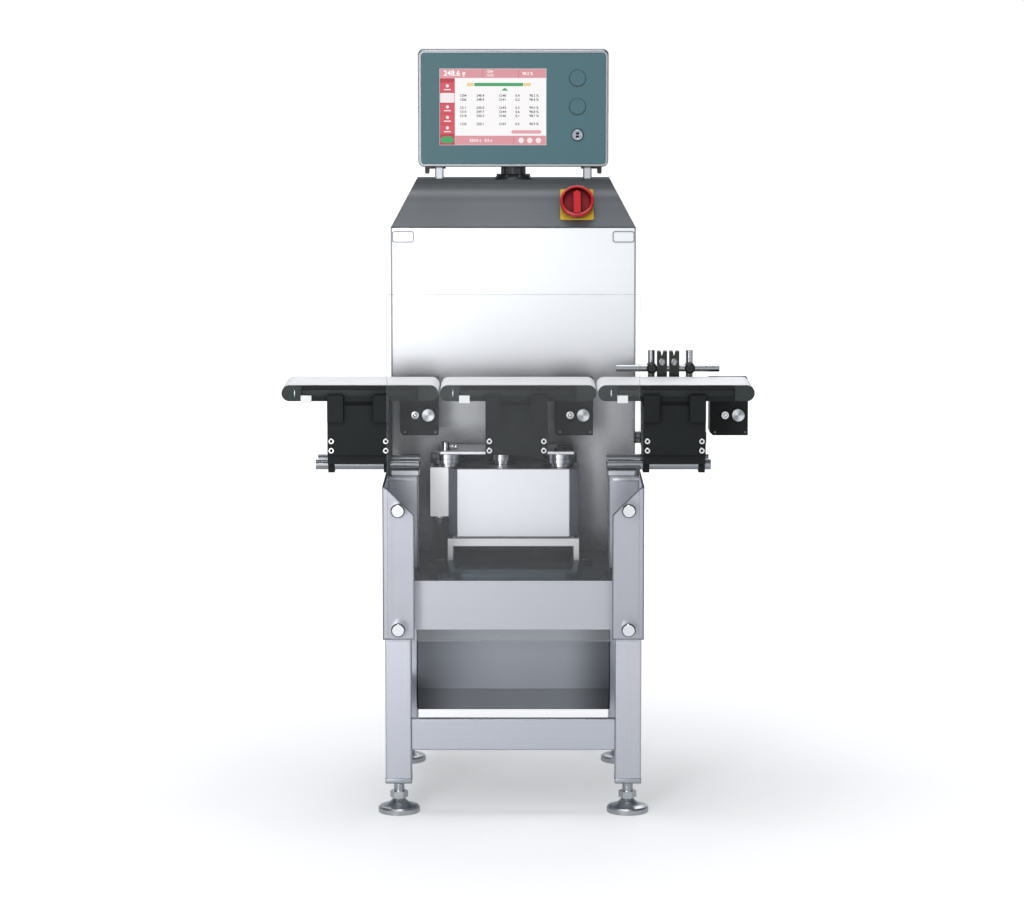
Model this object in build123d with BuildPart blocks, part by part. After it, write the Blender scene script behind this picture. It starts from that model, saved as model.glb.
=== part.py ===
from build123d import *
import math
import os

# Millimetres. X runs along the conveyor line, Y from the front to the back, Z up from the floor.
# The origin is on the floor, in the middle of the machine's outline.

# Driving dimensions of the frame
leg_size = 50.0
leg_wall = 3.0
leg_corner = 3.0
leg_plug = 12.0
leg_bottom = 60.0
frame_width = 490.0
frame_depth = 490.0
frame_shift = -9.3
shoulder_height = 447.0
beam_thickness = 20.0
beam_height = 60.0
beam_bottom = 124.8
beam_wall = 2.0
beam_corner = 2.0
beam_inset = 3.0
upper_beam_height = 50.0

# Driving dimensions of the levelling feet
foot_disc_r = 40.0
foot_disc_height = 12.0
foot_sole_chamfer = 1.0
foot_shoulder_chamfer = 3.0
foot_dome_height = 14.5
foot_dome_sag = 3.0
foot_collar_r = 11.5
foot_collar_height = 2.0
foot_nut_flats = 30.0
foot_nut_height = 12.5
foot_spindle_r = 9.75

# Driving dimensions of the base, the side panels and the guard pane
base_setback = 41.0
base_height = 94.6
base_wall = 12.0
panel_sheet = 4.0
panel_drop = 106.0
panel_height = 295.0
flange_width = 60.5
flange_cut_inner = 55.0
flange_cut_outer = 4.0
flange_cut_shelf = 9.0
pane_width = 478.0
pane_lift = 1.5
pane_height = 662.0
pane_sheet = 5.0
pane_corner = 4.0
standoff_r = 12.0
standoff_length = 20.0
standoff_neck_r = 4.0
standoff_cap = 3.0
standoff_inset = 20.0
standoff_low = 21.4
standoff_high = 250.4
screw_clearance = 0.25

# Driving dimensions of the posts and bars that carry the outer conveyors
post_setback = 185.0
post_depth = 90.0
post_plate = 8.0
post_height = 183.0
saddle_thickness = 12.0
saddle_reach = 61.0
saddle_end_gap = 6.0
saddle_overhang = 5.0
bar_r = 10.0
bar_front_setback = 190.0
bar_spacing = 80.0
bar_tail = 11.9

# Driving dimensions of the conveyors
line_rise = 364.6
conveyor_length = 304.4
conveyor_gap = 2.8
conveyor_setback = 155.0
conveyor_width = 153.0
belt_nose_r = 15.7
belt_thickness = 1.7
belt_side_gap = 0.5
side_plate_thickness = 5.0
side_plate_nose_r = 15.4
groove_height = 15.0
groove_depth = 1.5
groove_drop = 8.4
end_cap_length = 39.0
roller_gap = 0.2
roller_side_gap = 2.0
journal_r = 6.0

# Driving dimensions of the carriers under the conveyors
carrier_width = 121.0
carrier_shift = -3.0
carrier_cheek = 12.6
carrier_rise = 13.0
carrier_belt_clearance = 13.0
block_width = 31.0
block_thickness = 6.0
block_height = 52.8
block_drop = 18.9
clamp_cover = 4.4
clamp_margin = 2.0
clamp_clearance = 0.1
bridge_rise = 4.5
bridge_overlap = 6.0

# Driving dimensions of the drives behind the conveyors
drive_width = 75.5
drive_end_gap = 3.5
drive_setback = 293.0
drive_back = 355.0
drive_height = 111.6
drive_rise = -4.0
drive_chamfer = 6.0
drive_belt_clearance = 1.2
plug_rise = 40.4
plug_length = 4.0
small_plug_r = 8.0
small_plug_inset = 49.0
large_plug_r = 12.8
large_plug_inset = 23.0

# Driving dimensions of the weigh cell and its platform
stand_width = 260.6
stand_setback = 275.0
cell_back = 385.0
stand_leg = 10.4
stand_height = 44.5
stand_plate = 15.0
spacer_height = 3.6
spacer_margin = 10.0
cell_width = 258.0
cell_setback = 272.0
cell_bevel = 18.0
cell_height = 136.9
side_box_width = 36.0
side_box_setback = 290.0
side_box_back = 350.0
side_box_height = 98.0
gland_length = 16.0
gland_top_r = 10.0
gland_tip_r = 5.5
platform_left = 146.0
platform_right = 121.0
platform_thickness = 7.0
platform_setback = 275.0
foot_step_height = 8.0
foot_step_share = 0.82
weigh_foot_height = 27.6
large_foot_r = 34.0
small_foot_r = 26.0
left_foot_x = -131.0
middle_foot_x = -24.0
right_foot_x = 93.0
outer_foot_clearance = 42.0
middle_foot_clearance = 15.0
pin_r = 10.0
pin_x = -135.0
pin_setback = 300.0
pin_height = 16.0
knob_r = 4.0
knob_length = 15.0
knob_height = 5.6
stop_width = 31.0
stop_depth = 26.0
stop_height = 10.0
stop_x = 101.7

# Driving dimensions of the cabinet
cabinet_setback = 391.0
cabinet_depth = 200.0
cabinet_height = 655.0
cabinet_sheet = 2.0
cabinet_edge_r = 3.0
hood_height = 93.4
hood_inset = 50.0
lower_height = 334.5
lower_bevel_height = 52.0
lower_bevel_depth = 45.0
door_margin = 14.0
door_thickness = 3.0

# Driving dimensions of the main switch
switch_x = 127.4
switch_run = 50.0
switch_plate_size = 67.0
switch_plate_thickness = 3.0
switch_boss_r = 14.0
switch_boss_height = 5.0
switch_shaft_r = 6.0
switch_shaft_gap = 0.3
handle_gap = 6.0
handle_r = 34.0
handle_depth = 14.0
handle_bowl_r = 28.0
handle_floor = 3.0
grip_width = 14.6
grip_length = 44.0
grip_proud = 2.0
grip_point = 5.0

# Driving dimensions of the operator terminal
terminal_width = 381.6
terminal_lift = 25.4
terminal_height = 233.8
terminal_setback = 440.0
terminal_depth = 65.0
terminal_corner = 12.0
terminal_wall = 3.0
terminal_edge_r = 2.5
film_margin = 6.5
film_depth = 1.2
film_sunk = 0.2
film_gap = 0.1
screen_width = 214.2
screen_height = 153.0
screen_left_margin = 42.8
screen_bottom_margin = 43.6
upright_width = 17.0
upright_depth = 20.0
upright_x = 149.0
upright_inset = 4.0
neck_r = 25.0
neck_flange_r = 37.5
neck_flange_height = 7.0
hook_outer = 178.3
hook_inner = 136.4
hook_finger = 9.5
hook_bar = 5.0
hook_drop = 15.0
hook_depth = 12.0

# Driving dimensions of the product sensors
sensor_rod_r = 7.0
sensor_rod_left = 112.1
sensor_rod_right = 93.4
sensor_rod_rise = 14.6
sensor_rod_setback = 329.0
sensor_post_setback = 345.0
sensor_rise = 49.0
sensor_post_left = 41.1
sensor_post_right = 34.4
bracket_left = 75.6
bracket_right = 68.9
bracket_height = 21.0
bracket_arm = 22.0
bracket_depth = 20.0
rod_clamp_r = 10.3
rod_clamp_cover = 2.0
head_width = 19.5
head_left = 20.8
head_right = 3.4
head_drop = 4.4
head_depth = 22.0
head_notch = 6.0
rod_clearance = 0.1

# Places that follow from the sizes above
depth_front = standoff_length + panel_sheet + pane_sheet + standoff_cap
depth_back = cabinet_setback + cabinet_depth + door_thickness
leg_front_y = (depth_front - depth_back) / 2
half_frame = frame_width / 2
inner_leg = half_frame - leg_size
line_height = shoulder_height + line_rise
nose_z = line_height - belt_nose_r
belt_underside = nose_z - belt_nose_r
plate_underside = nose_z - side_plate_nose_r
conveyor_front_y = leg_front_y + conveyor_setback
conveyor_back_y = conveyor_front_y + conveyor_width
base_bottom = shoulder_height - base_height
panel_bottom = shoulder_height - panel_drop
panel_top = panel_bottom + panel_height
pane_bottom = panel_bottom + pane_lift
post_top = shoulder_height + post_height
saddle_top = post_top + saddle_thickness
bar_z = saddle_top + bar_r
bar_back_setback = bar_front_setback + bar_spacing
conveyor_pitch = conveyor_length + conveyor_gap
bar_end = conveyor_pitch + carrier_shift - frame_shift + carrier_width / 2 + bar_tail
carrier_bottom = bar_z + bar_r + carrier_rise
clamp_bottom = bar_z - bar_r - clamp_cover
stand_top = shoulder_height + stand_height
cell_bottom = stand_top + spacer_height
cell_top = cell_bottom + cell_height
platform_bottom = cell_top + weigh_foot_height
platform_top = platform_bottom + platform_thickness
drive_top = line_height + drive_rise
drive_bottom = drive_top - drive_height
block_top = line_height - block_drop
cabinet_front_y = leg_front_y + cabinet_setback
cabinet_back_y = cabinet_front_y + cabinet_depth
cabinet_top = shoulder_height + cabinet_height
hood_top = cabinet_top + hood_height
lower_bottom = shoulder_height - lower_height
terminal_bottom = hood_top + terminal_lift
terminal_top = terminal_bottom + terminal_height
sensor_rod_z = line_height + sensor_rod_rise
sensor_top = line_height + sensor_rise

os.makedirs("parts", exist_ok=True)


def write(piece, name):
    """Label a finished piece and write it."""
    piece.part.label = name
    export_step(piece.part, f"parts/{name}.step")


def slab(x, y, z, mode=Mode.ADD):
    """Add a block that spans the three given ranges."""
    with Locations(((x[0] + x[1]) / 2, (y[0] + y[1]) / 2, (z[0] + z[1]) / 2)):
        Box(abs(x[1] - x[0]), abs(y[1] - y[0]), abs(z[1] - z[0]), mode=mode)


def hollow(x, y, z, wall, bottom=None):
    """Cut the room inside a closed case of sheet."""
    low_z = z[0] + (wall if bottom is None else bottom)
    slab((x[0] + wall, x[1] - wall), (y[0] + wall, y[1] - wall), (low_z, z[1] - wall), Mode.SUBTRACT)


def case(x, y, z, wall):
    """Add a closed case of sheet, hollow inside."""
    slab(x, y, z)
    hollow(x, y, z, wall)


def front_plane(y):
    """The plane that faces the front at depth y, with X to the right and Z up."""
    return Plane.XZ.offset(-y)


def span(side, low, high):
    """The range of X between two distances from the frame's middle, on one side."""
    ends = (frame_shift + side * low, frame_shift + side * high)
    return (min(ends), max(ends))


def depth(front, back):
    """The range of Y between two setbacks from the front legs' faces."""
    return (leg_front_y + front, leg_front_y + back)


# The four square legs, closed at the bottom by a threaded plug
leg_x = half_frame - leg_size / 2
leg_setbacks = (0.0, frame_depth - leg_size)
for row, setback in zip(("front", "rear"), leg_setbacks):
    with BuildPart() as legs:
        along = depth(setback, setback + leg_size)
        for side in (-1, 1):
            slab(span(side, inner_leg, half_frame), along, (leg_bottom, shoulder_height))
        fillet(legs.edges().filter_by(Axis.Z), leg_corner)
        for side in (-1, 1):
            across = span(side, inner_leg, half_frame)
            hollow(across, along, (leg_bottom, shoulder_height), leg_wall, bottom=leg_plug)
    write(legs, f"{row}_legs")

# The levelling feet: a disc with a domed top, a lock nut and a spindle
with BuildPart() as feet:
    nut_bottom = foot_disc_height + foot_dome_height + foot_collar_height
    dome_top = foot_disc_height + foot_dome_height
    for side in (-1, 1):
        for setback in leg_setbacks:
            foot_x = frame_shift + side * leg_x
            foot_y = leg_front_y + setback + leg_size / 2
            with BuildSketch(Plane(origin=(foot_x, foot_y, 0), x_dir=(1, 0, 0), z_dir=(0, -1, 0))):
                with BuildLine():
                    shoulder_r = foot_disc_r - foot_shoulder_chamfer
                    Polyline(
                        (foot_collar_r, dome_top),
                        (foot_collar_r, nut_bottom),
                        (0, nut_bottom),
                        (0, 0),
                        (foot_disc_r - foot_sole_chamfer, 0),
                        (foot_disc_r, foot_sole_chamfer),
                        (foot_disc_r, foot_disc_height - foot_shoulder_chamfer),
                        (shoulder_r, foot_disc_height),
                    )
                    half_way = (
                        (shoulder_r + foot_collar_r - foot_dome_sag) / 2,
                        (foot_disc_height + dome_top) / 2 - foot_dome_sag,
                    )
                    ThreePointArc((shoulder_r, foot_disc_height), half_way, (foot_collar_r, dome_top))
                make_face()
            revolve(axis=Axis((foot_x, foot_y, 0), (0, 0, 1)))
            with BuildSketch(Plane.XY.offset(nut_bottom)):
                with Locations((foot_x, foot_y)):
                    RegularPolygon(foot_nut_flats / 2, 6, major_radius=False)
            extrude(amount=foot_nut_height)
            with BuildSketch(Plane.XY.offset(nut_bottom + foot_nut_height)):
                with Locations((foot_x, foot_y)):
                    Circle(foot_spindle_r)
            extrude(amount=leg_bottom - nut_bottom - foot_nut_height)
write(feet, "feet")

# The tube that joins the front legs near the floor
with BuildPart() as cross_beam:
    across = (frame_shift - inner_leg, frame_shift + inner_leg)
    along = depth(beam_inset, beam_inset + beam_thickness)
    upward = (beam_bottom, beam_bottom + beam_height)
    slab(across, along, upward)
    fillet(cross_beam.edges().filter_by(Axis.X), beam_corner)
    hollow(across, along, upward, beam_wall)
write(cross_beam, "cross_beam")

# The tubes that join each front leg to the leg behind it, low down and at the shoulder
with BuildPart() as side_beams:
    between_legs = depth(leg_size, frame_depth - leg_size)
    for side in (-1, 1):
        low = span(side, leg_x - beam_thickness / 2, leg_x + beam_thickness / 2)
        case(low, between_legs, (beam_bottom, beam_bottom + beam_height), beam_wall)
        high = span(side, inner_leg, half_frame)
        case(high, between_legs, (shoulder_height - upper_beam_height, shoulder_height), leg_wall)
write(side_beams, "side_beams")

# The base, a heavy closed box between the legs
with BuildPart() as base:
    across = (frame_shift - inner_leg, frame_shift + inner_leg)
    case(across, depth(base_setback, cabinet_setback), (base_bottom, shoulder_height), base_wall)
write(base, "base")

# The side panels: sheets outside the legs, folded round their fronts and cut away at the top
for name, side in (("left", -1), ("right", 1)):
    with BuildPart() as panel:
        outside = span(side, half_frame, half_frame + panel_sheet)
        slab(outside, depth(-panel_sheet, cabinet_setback), (panel_bottom, panel_top))
        outer = half_frame + panel_sheet
        inner = outer - flange_width
        with BuildSketch(front_plane(leg_front_y - panel_sheet)):
            with BuildLine():
                Polyline(
                    (frame_shift + side * outer, panel_bottom),
                    (frame_shift + side * inner, panel_bottom),
                    (frame_shift + side * inner, panel_top - flange_cut_inner),
                    (frame_shift + side * (outer - flange_cut_shelf), panel_top - flange_cut_outer),
                    (frame_shift + side * outer, panel_top),
                    close=True,
                )
            make_face()
        extrude(amount=-panel_sheet)
    write(panel, f"side_panel_{name}")

# The clear guard pane in front, drilled for its four stand-offs
pane_back_y = leg_front_y - panel_sheet - standoff_length
pane_front_y = pane_back_y - pane_sheet
standoff_places = [
    (frame_shift + side * (pane_width / 2 - standoff_inset), pane_bottom + rise)
    for side in (-1, 1)
    for rise in (standoff_low, standoff_high)
]
with BuildPart() as pane:
    with BuildSketch(front_plane(pane_back_y)):
        with Locations((frame_shift, pane_bottom + pane_height / 2)):
            RectangleRounded(pane_width, pane_height, pane_corner)
        with Locations(*standoff_places):
            Circle(standoff_neck_r + screw_clearance, mode=Mode.SUBTRACT)
    extrude(amount=pane_sheet)
write(pane, "guard_pane")

# The stand-offs: a round spacer behind the pane, a neck through it and a cap in front
with BuildPart() as standoffs:
    with BuildSketch(front_plane(leg_front_y - panel_sheet)):
        with Locations(*standoff_places):
            Circle(standoff_r)
    extrude(amount=standoff_length)
    with BuildSketch(front_plane(pane_back_y)):
        with Locations(*standoff_places):
            Circle(standoff_neck_r)
    extrude(amount=pane_sheet)
    with BuildSketch(front_plane(pane_front_y)):
        with Locations(*standoff_places):
            Circle(standoff_r)
    extrude(amount=standoff_cap)
write(standoffs, "pane_standoffs")

# The posts on the shoulder beams, each with a stiffening plate and a saddle on top
with BuildPart() as posts:
    for side in (-1, 1):
        along = depth(post_setback, post_setback + post_depth)
        case(span(side, inner_leg, half_frame), along, (shoulder_height, post_top), leg_wall)
        slab(span(side, inner_leg - post_plate, inner_leg), along, (shoulder_height, post_top))
        over = depth(post_setback - saddle_overhang, post_setback + post_depth + saddle_overhang)
        saddle = span(side, half_frame - saddle_reach, half_frame - saddle_end_gap)
        slab(saddle, over, (post_top, saddle_top))
write(posts, "bar_posts")

# The round bars that reach out on both sides to carry the infeed and outfeed conveyors
with BuildPart() as bars:
    for side in (-1, 1):
        for setback in (bar_front_setback, bar_back_setback):
            reach = span(side, half_frame - saddle_reach, bar_end)
            with BuildSketch(Plane.YZ.offset(reach[0])):
                with Locations((leg_front_y + setback, bar_z)):
                    Circle(bar_r)
            extrude(amount=reach[1] - reach[0])
write(bars, "support_bars")

# The three conveyors, each a slider bed between two side plates with a belt round it
stations = (("infeed", -conveyor_pitch), ("weigh", 0.0), ("outfeed", conveyor_pitch))
belt_front_y = conveyor_front_y + side_plate_thickness + belt_side_gap
belt_back_y = conveyor_back_y - side_plate_thickness - belt_side_gap
inside_y = (conveyor_front_y + side_plate_thickness, conveyor_back_y - side_plate_thickness)
core_r = belt_nose_r - belt_thickness - roller_gap
roller_x = conveyor_length / 2 - belt_nose_r
plate_length = conveyor_length - 2 * (belt_nose_r - side_plate_nose_r)
groove_z = (line_height - groove_drop - groove_height, line_height - groove_drop)
for name, middle in stations:
    with BuildPart() as conveyor_frame:
        for y in (conveyor_front_y, conveyor_back_y - side_plate_thickness):
            with BuildSketch(front_plane(y)):
                with Locations((middle, nose_z)):
                    SlotOverall(plate_length, 2 * side_plate_nose_r)
            extrude(amount=-side_plate_thickness)
        bed_reach = roller_x - 1.25 * core_r
        slab((middle - bed_reach, middle + bed_reach), inside_y, (nose_z - core_r, nose_z + core_r))
        groove_reach = conveyor_length / 2 - end_cap_length
        groove_x = (middle - groove_reach, middle + groove_reach)
        slab(groove_x, (conveyor_front_y, conveyor_front_y + groove_depth), groove_z, Mode.SUBTRACT)
        slab(groove_x, (conveyor_back_y - groove_depth, conveyor_back_y), groove_z, Mode.SUBTRACT)
    write(conveyor_frame, f"{name}_frame")

    with BuildPart() as belt:
        with BuildSketch(front_plane(belt_back_y)):
            with Locations((middle, nose_z)):
                SlotOverall(conveyor_length, 2 * belt_nose_r)
                SlotOverall(
                    conveyor_length - 2 * belt_thickness,
                    2 * (belt_nose_r - belt_thickness),
                    mode=Mode.SUBTRACT,
                )
        extrude(amount=belt_back_y - belt_front_y)
    write(belt, f"{name}_belt")

# The end rollers inside the belts, on journals that meet the side plates
with BuildPart() as rollers:
    roller_places = [(middle + end * roller_x, nose_z) for name, middle in stations for end in (-1, 1)]
    with BuildSketch(front_plane(inside_y[1])):
        with Locations(*roller_places):
            Circle(journal_r)
    extrude(amount=inside_y[1] - inside_y[0])
    with BuildSketch(front_plane(inside_y[1] - roller_side_gap)):
        with Locations(*roller_places):
            Circle(core_r)
    extrude(amount=inside_y[1] - inside_y[0] - 2 * roller_side_gap)
write(rollers, "rollers")

# The carriers: a front and a back plate under the side plates, joined by three webs and a bridge
cheek_top = belt_underside - carrier_belt_clearance
for name, middle in stations:
    centre = middle + carrier_shift
    carrier_x = (centre - carrier_width / 2, centre + carrier_width / 2)
    on_platform = name == "weigh"
    front_plate_y = (conveyor_front_y, conveyor_front_y + side_plate_thickness)
    back_plate_y = (conveyor_back_y - side_plate_thickness, conveyor_back_y)
    with BuildPart() as carrier:
        slab(carrier_x, front_plate_y, (carrier_bottom, plate_underside))
        slab(carrier_x, back_plate_y, (carrier_bottom, plate_underside))
        webs = (
            (carrier_x[0], carrier_x[0] + carrier_cheek),
            (centre - carrier_cheek / 2, centre + carrier_cheek / 2),
            (carrier_x[1] - carrier_cheek, carrier_x[1]),
        )
        for web in webs:
            slab(web, (front_plate_y[1], back_plate_y[0]), (carrier_bottom, cheek_top))
            if on_platform:
                slab(web, (leg_front_y + platform_setback, conveyor_back_y), (platform_top, carrier_bottom))
        blocks = (
            (carrier_x[0], carrier_x[0] + block_width),
            (carrier_x[1] - block_width, carrier_x[1]),
        )
        block_z = (block_top - block_height, block_top)
        for block in blocks:
            slab(block, (conveyor_front_y - block_thickness, conveyor_front_y), block_z)
            slab(block, (conveyor_back_y, conveyor_back_y + block_thickness), block_z)
        if not on_platform:
            clamp_y = depth(
                bar_front_setback - bar_r - clamp_margin, bar_back_setback + bar_r + clamp_margin
            )
            for web in (webs[0], webs[2]):
                slab(web, clamp_y, (clamp_bottom, carrier_bottom))
            bridge_z = (bar_z + bridge_rise, carrier_bottom + bridge_overlap)
            slab(carrier_x, (front_plate_y[1], clamp_y[0]), bridge_z)
            with BuildSketch(Plane.YZ.offset(carrier_x[0])):
                with Locations(
                    (leg_front_y + bar_front_setback, bar_z), (leg_front_y + bar_back_setback, bar_z)
                ):
                    Circle(bar_r + clamp_clearance)
            extrude(amount=carrier_width, mode=Mode.SUBTRACT)
    write(carrier, f"{name}_carrier")

# The drives, hung on the back side plates and reaching under the belts
for name, middle in stations:
    right = middle + conveyor_length / 2 - drive_end_gap
    drive_y = depth(drive_setback, drive_back)
    with BuildPart() as drive:
        with BuildSketch(front_plane(drive_y[1])):
            with BuildLine():
                Polyline(
                    (right - drive_width, drive_top),
                    (right - drive_width, drive_bottom + drive_chamfer),
                    (right - drive_width + drive_chamfer, drive_bottom),
                    (right, drive_bottom),
                    (right, drive_top),
                    close=True,
                )
            make_face()
        extrude(amount=drive_y[1] - drive_y[0])
        room = (belt_underside - drive_belt_clearance, drive_top)
        slab((right - drive_width, right), (drive_y[0], conveyor_back_y), room, Mode.SUBTRACT)
    write(drive, f"{name}_drive")

# Two round plugs on the front of each drive
with BuildPart() as plugs:
    for name, middle in stations:
        end = middle + conveyor_length / 2
        with BuildSketch(front_plane(leg_front_y + drive_setback)):
            with Locations((end - small_plug_inset, drive_bottom + plug_rise)):
                Circle(small_plug_r)
            with Locations((end - large_plug_inset, drive_bottom + plug_rise)):
                Circle(large_plug_r)
        extrude(amount=plug_length)
write(plugs, "drive_plugs")

# The stand of the weigh cell, a bridge on two legs with a spacer on top
with BuildPart() as stand:
    half_stand = stand_width / 2
    stand_y = depth(stand_setback, cell_back)
    across = (frame_shift - half_stand, frame_shift + half_stand)
    slab(across, stand_y, (stand_top - stand_plate, stand_top))
    for side in (-1, 1):
        leg = span(side, half_stand - stand_leg, half_stand)
        slab(leg, stand_y, (shoulder_height, stand_top - stand_plate))
    spacer = (across[0] + spacer_margin, across[1] - spacer_margin)
    slab(spacer, (stand_y[0] + spacer_margin, stand_y[1] - spacer_margin), (stand_top, cell_bottom))
write(stand, "weigh_stand")

# The weigh cell in its bevelled housing, with a narrow terminal box and its gland on the left
with BuildPart() as cell:
    cell_y = depth(cell_setback, cell_back)
    half_cell = cell_width / 2
    with BuildSketch(Plane.XY.offset(cell_bottom)):
        with BuildLine():
            Polyline(
                (frame_shift - half_cell, cell_y[1]),
                (frame_shift - half_cell, cell_y[0] + cell_bevel),
                (frame_shift - half_cell + cell_bevel, cell_y[0]),
                (frame_shift + half_cell - cell_bevel, cell_y[0]),
                (frame_shift + half_cell, cell_y[0] + cell_bevel),
                (frame_shift + half_cell, cell_y[1]),
                close=True,
            )
        make_face()
    extrude(amount=cell_top - cell_bottom)
write(cell, "weigh_cell")

with BuildPart() as side_box:
    box_x = (frame_shift - half_cell - side_box_width, frame_shift - half_cell)
    box_y = depth(side_box_setback, side_box_back)
    side_box_bottom = cell_top - side_box_height
    slab(box_x, box_y, (side_box_bottom, cell_top))
    gland_y = box_y[0] + gland_top_r * 2
    with Locations(((box_x[0] + box_x[1]) / 2, gland_y, side_box_bottom - gland_length / 2)):
        Cone(gland_tip_r, gland_top_r, gland_length)
write(side_box, "weigh_side_box")

# The three round feet between the weigh cell and its platform, each stepped in at the bottom
with BuildPart() as weigh_feet:
    for x, clearance, radius in (
        (left_foot_x, outer_foot_clearance, large_foot_r),
        (middle_foot_x, middle_foot_clearance, small_foot_r),
        (right_foot_x, outer_foot_clearance, large_foot_r),
    ):
        place = (frame_shift + x, cabinet_front_y - clearance - radius)
        with BuildSketch(Plane.XY.offset(cell_top)):
            with Locations(place):
                Circle(radius * foot_step_share)
        extrude(amount=foot_step_height)
        with BuildSketch(Plane.XY.offset(cell_top + foot_step_height)):
            with Locations(place):
                Circle(radius)
        extrude(amount=platform_bottom - cell_top - foot_step_height)
write(weigh_feet, "weigh_feet")

# The platform that carries the weigh conveyor
with BuildPart() as platform:
    platform_x = (frame_shift - platform_left, frame_shift + platform_right)
    platform_y = depth(platform_setback, cell_back)
    slab(platform_x, platform_y, (platform_bottom, platform_top))
write(platform, "weigh_platform")

# What stands on the platform: a locating pin with its knob, and a stop block at its front edge
with BuildPart() as fittings:
    pin_place = (frame_shift + pin_x, leg_front_y + pin_setback)
    with BuildSketch(Plane.XY.offset(platform_top)):
        with Locations(pin_place):
            Circle(pin_r)
    extrude(amount=pin_height)
    with BuildSketch(Plane.YZ.offset(pin_place[0])):
        with Locations((pin_place[1], platform_top + knob_height)):
            Circle(knob_r)
    extrude(amount=pin_r + knob_length)
write(fittings, "platform_fittings")

with BuildPart() as stop:
    stop_centre = frame_shift + stop_x
    stop_range = (stop_centre - stop_width / 2, stop_centre + stop_width / 2)
    stop_z = (platform_top, platform_top + stop_height)
    slab(stop_range, (platform_y[0], platform_y[0] + stop_depth), stop_z)
write(stop, "platform_stop")

# The lower housing between the rear legs, with its bottom front edge bevelled
with BuildPart() as lower_housing:

    def lower_outline(sheet):
        """The side view of the housing, set in by a sheet's thickness."""
        Polyline(
            (cabinet_front_y + sheet, shoulder_height - sheet),
            (cabinet_front_y + sheet, lower_bottom + lower_bevel_height + sheet / 2),
            (cabinet_front_y + lower_bevel_depth + sheet / 2, lower_bottom + sheet),
            (cabinet_back_y - sheet, lower_bottom + sheet),
            (cabinet_back_y - sheet, shoulder_height - sheet),
            close=True,
        )

    with BuildSketch(Plane.YZ.offset(frame_shift - inner_leg)):
        with BuildLine():
            lower_outline(0)
        make_face()
    extrude(amount=2 * inner_leg)
    with BuildSketch(Plane.YZ.offset(frame_shift - inner_leg + cabinet_sheet)):
        with BuildLine():
            lower_outline(cabinet_sheet)
        make_face()
    extrude(amount=2 * (inner_leg - cabinet_sheet), mode=Mode.SUBTRACT)
write(lower_housing, "lower_housing")

# The cabinet, a closed case of sheet on the rear legs
cabinet_x = (frame_shift - half_frame, frame_shift + half_frame)
with BuildPart() as cabinet:
    slab(cabinet_x, (cabinet_front_y, cabinet_back_y), (shoulder_height, cabinet_top))
    fillet(cabinet.edges().filter_by(Axis.Z), cabinet_edge_r)
    slab(
        (cabinet_x[0] + cabinet_sheet, cabinet_x[1] - cabinet_sheet),
        (cabinet_front_y + cabinet_sheet, cabinet_back_y - cabinet_sheet),
        (shoulder_height + cabinet_sheet, cabinet_top - cabinet_sheet),
        Mode.SUBTRACT,
    )
write(cabinet, "cabinet")

# The hood, a hollow pyramid with a flat top
with BuildPart() as hood:
    for sheet, mode in ((0, Mode.ADD), (cabinet_sheet, Mode.SUBTRACT)):
        for z in (cabinet_top + sheet, hood_top - sheet):
            inset = hood_inset * (z - cabinet_top) / hood_height + 1.2 * sheet
            with BuildSketch(Plane.XY.offset(z)):
                with Locations((frame_shift, (cabinet_front_y + cabinet_back_y) / 2)):
                    Rectangle(frame_width - 2 * inset, cabinet_depth - 2 * inset)
        loft(mode=mode)
write(hood, "cabinet_hood")

# The door on the back of the cabinet
with BuildPart() as door:
    door_size = (frame_width - 2 * door_margin, cabinet_top - shoulder_height - 2 * door_margin)
    with BuildSketch(front_plane(cabinet_back_y)):
        with Locations((frame_shift, (cabinet_top + shoulder_height) / 2)):
            RectangleRounded(*door_size, cabinet_edge_r)
    extrude(amount=-door_thickness)
write(door, "rear_door")

# The main switch on the hood's front slope: a square plate with a boss, and the round handle
slope_length = math.hypot(hood_inset, hood_height)
slope_up = (0, hood_inset / slope_length, hood_height / slope_length)
slope_out = (0, -slope_up[2], slope_up[1])
switch_centre = (
    frame_shift + switch_x,
    cabinet_front_y + switch_run * slope_up[1],
    cabinet_top + switch_run * slope_up[2],
)
switch_plane = Plane(origin=switch_centre, x_dir=(1, 0, 0), z_dir=slope_out)
boss_top = switch_plate_thickness + switch_boss_height
with BuildPart() as switch_plate:
    with BuildSketch(switch_plane):
        Rectangle(switch_plate_size, switch_plate_size)
    extrude(amount=switch_plate_thickness)
    with BuildSketch(switch_plane.offset(switch_plate_thickness)):
        Circle(switch_boss_r)
    extrude(amount=switch_boss_height)
    with BuildSketch(switch_plane.offset(boss_top)):
        Circle(switch_shaft_r + switch_shaft_gap)
    extrude(amount=1 - boss_top, mode=Mode.SUBTRACT)
write(switch_plate, "switch_plate")

handle_back = switch_plate_thickness + handle_gap
with BuildPart() as handle:
    with BuildSketch(switch_plane.offset(handle_back)):
        Circle(handle_r)
    extrude(amount=handle_depth)
    with BuildSketch(switch_plane.offset(handle_back + handle_floor)):
        Circle(handle_bowl_r)
    extrude(amount=handle_depth - handle_floor, mode=Mode.SUBTRACT)
    with BuildSketch(switch_plane.offset(handle_back + handle_floor)):
        with BuildLine():
            half_grip = grip_width / 2
            tip = grip_length / 2
            Polyline(
                (-half_grip, -tip),
                (half_grip, -tip),
                (half_grip, tip - grip_point),
                (0, tip),
                (-half_grip, tip - grip_point),
                close=True,
            )
        make_face()
    extrude(amount=handle_depth - handle_floor + grip_proud)
    with BuildSketch(switch_plane.offset(handle_back)):
        Circle(switch_shaft_r)
    extrude(amount=1 + switch_shaft_gap - handle_back)
write(handle, "switch_handle")

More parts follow.
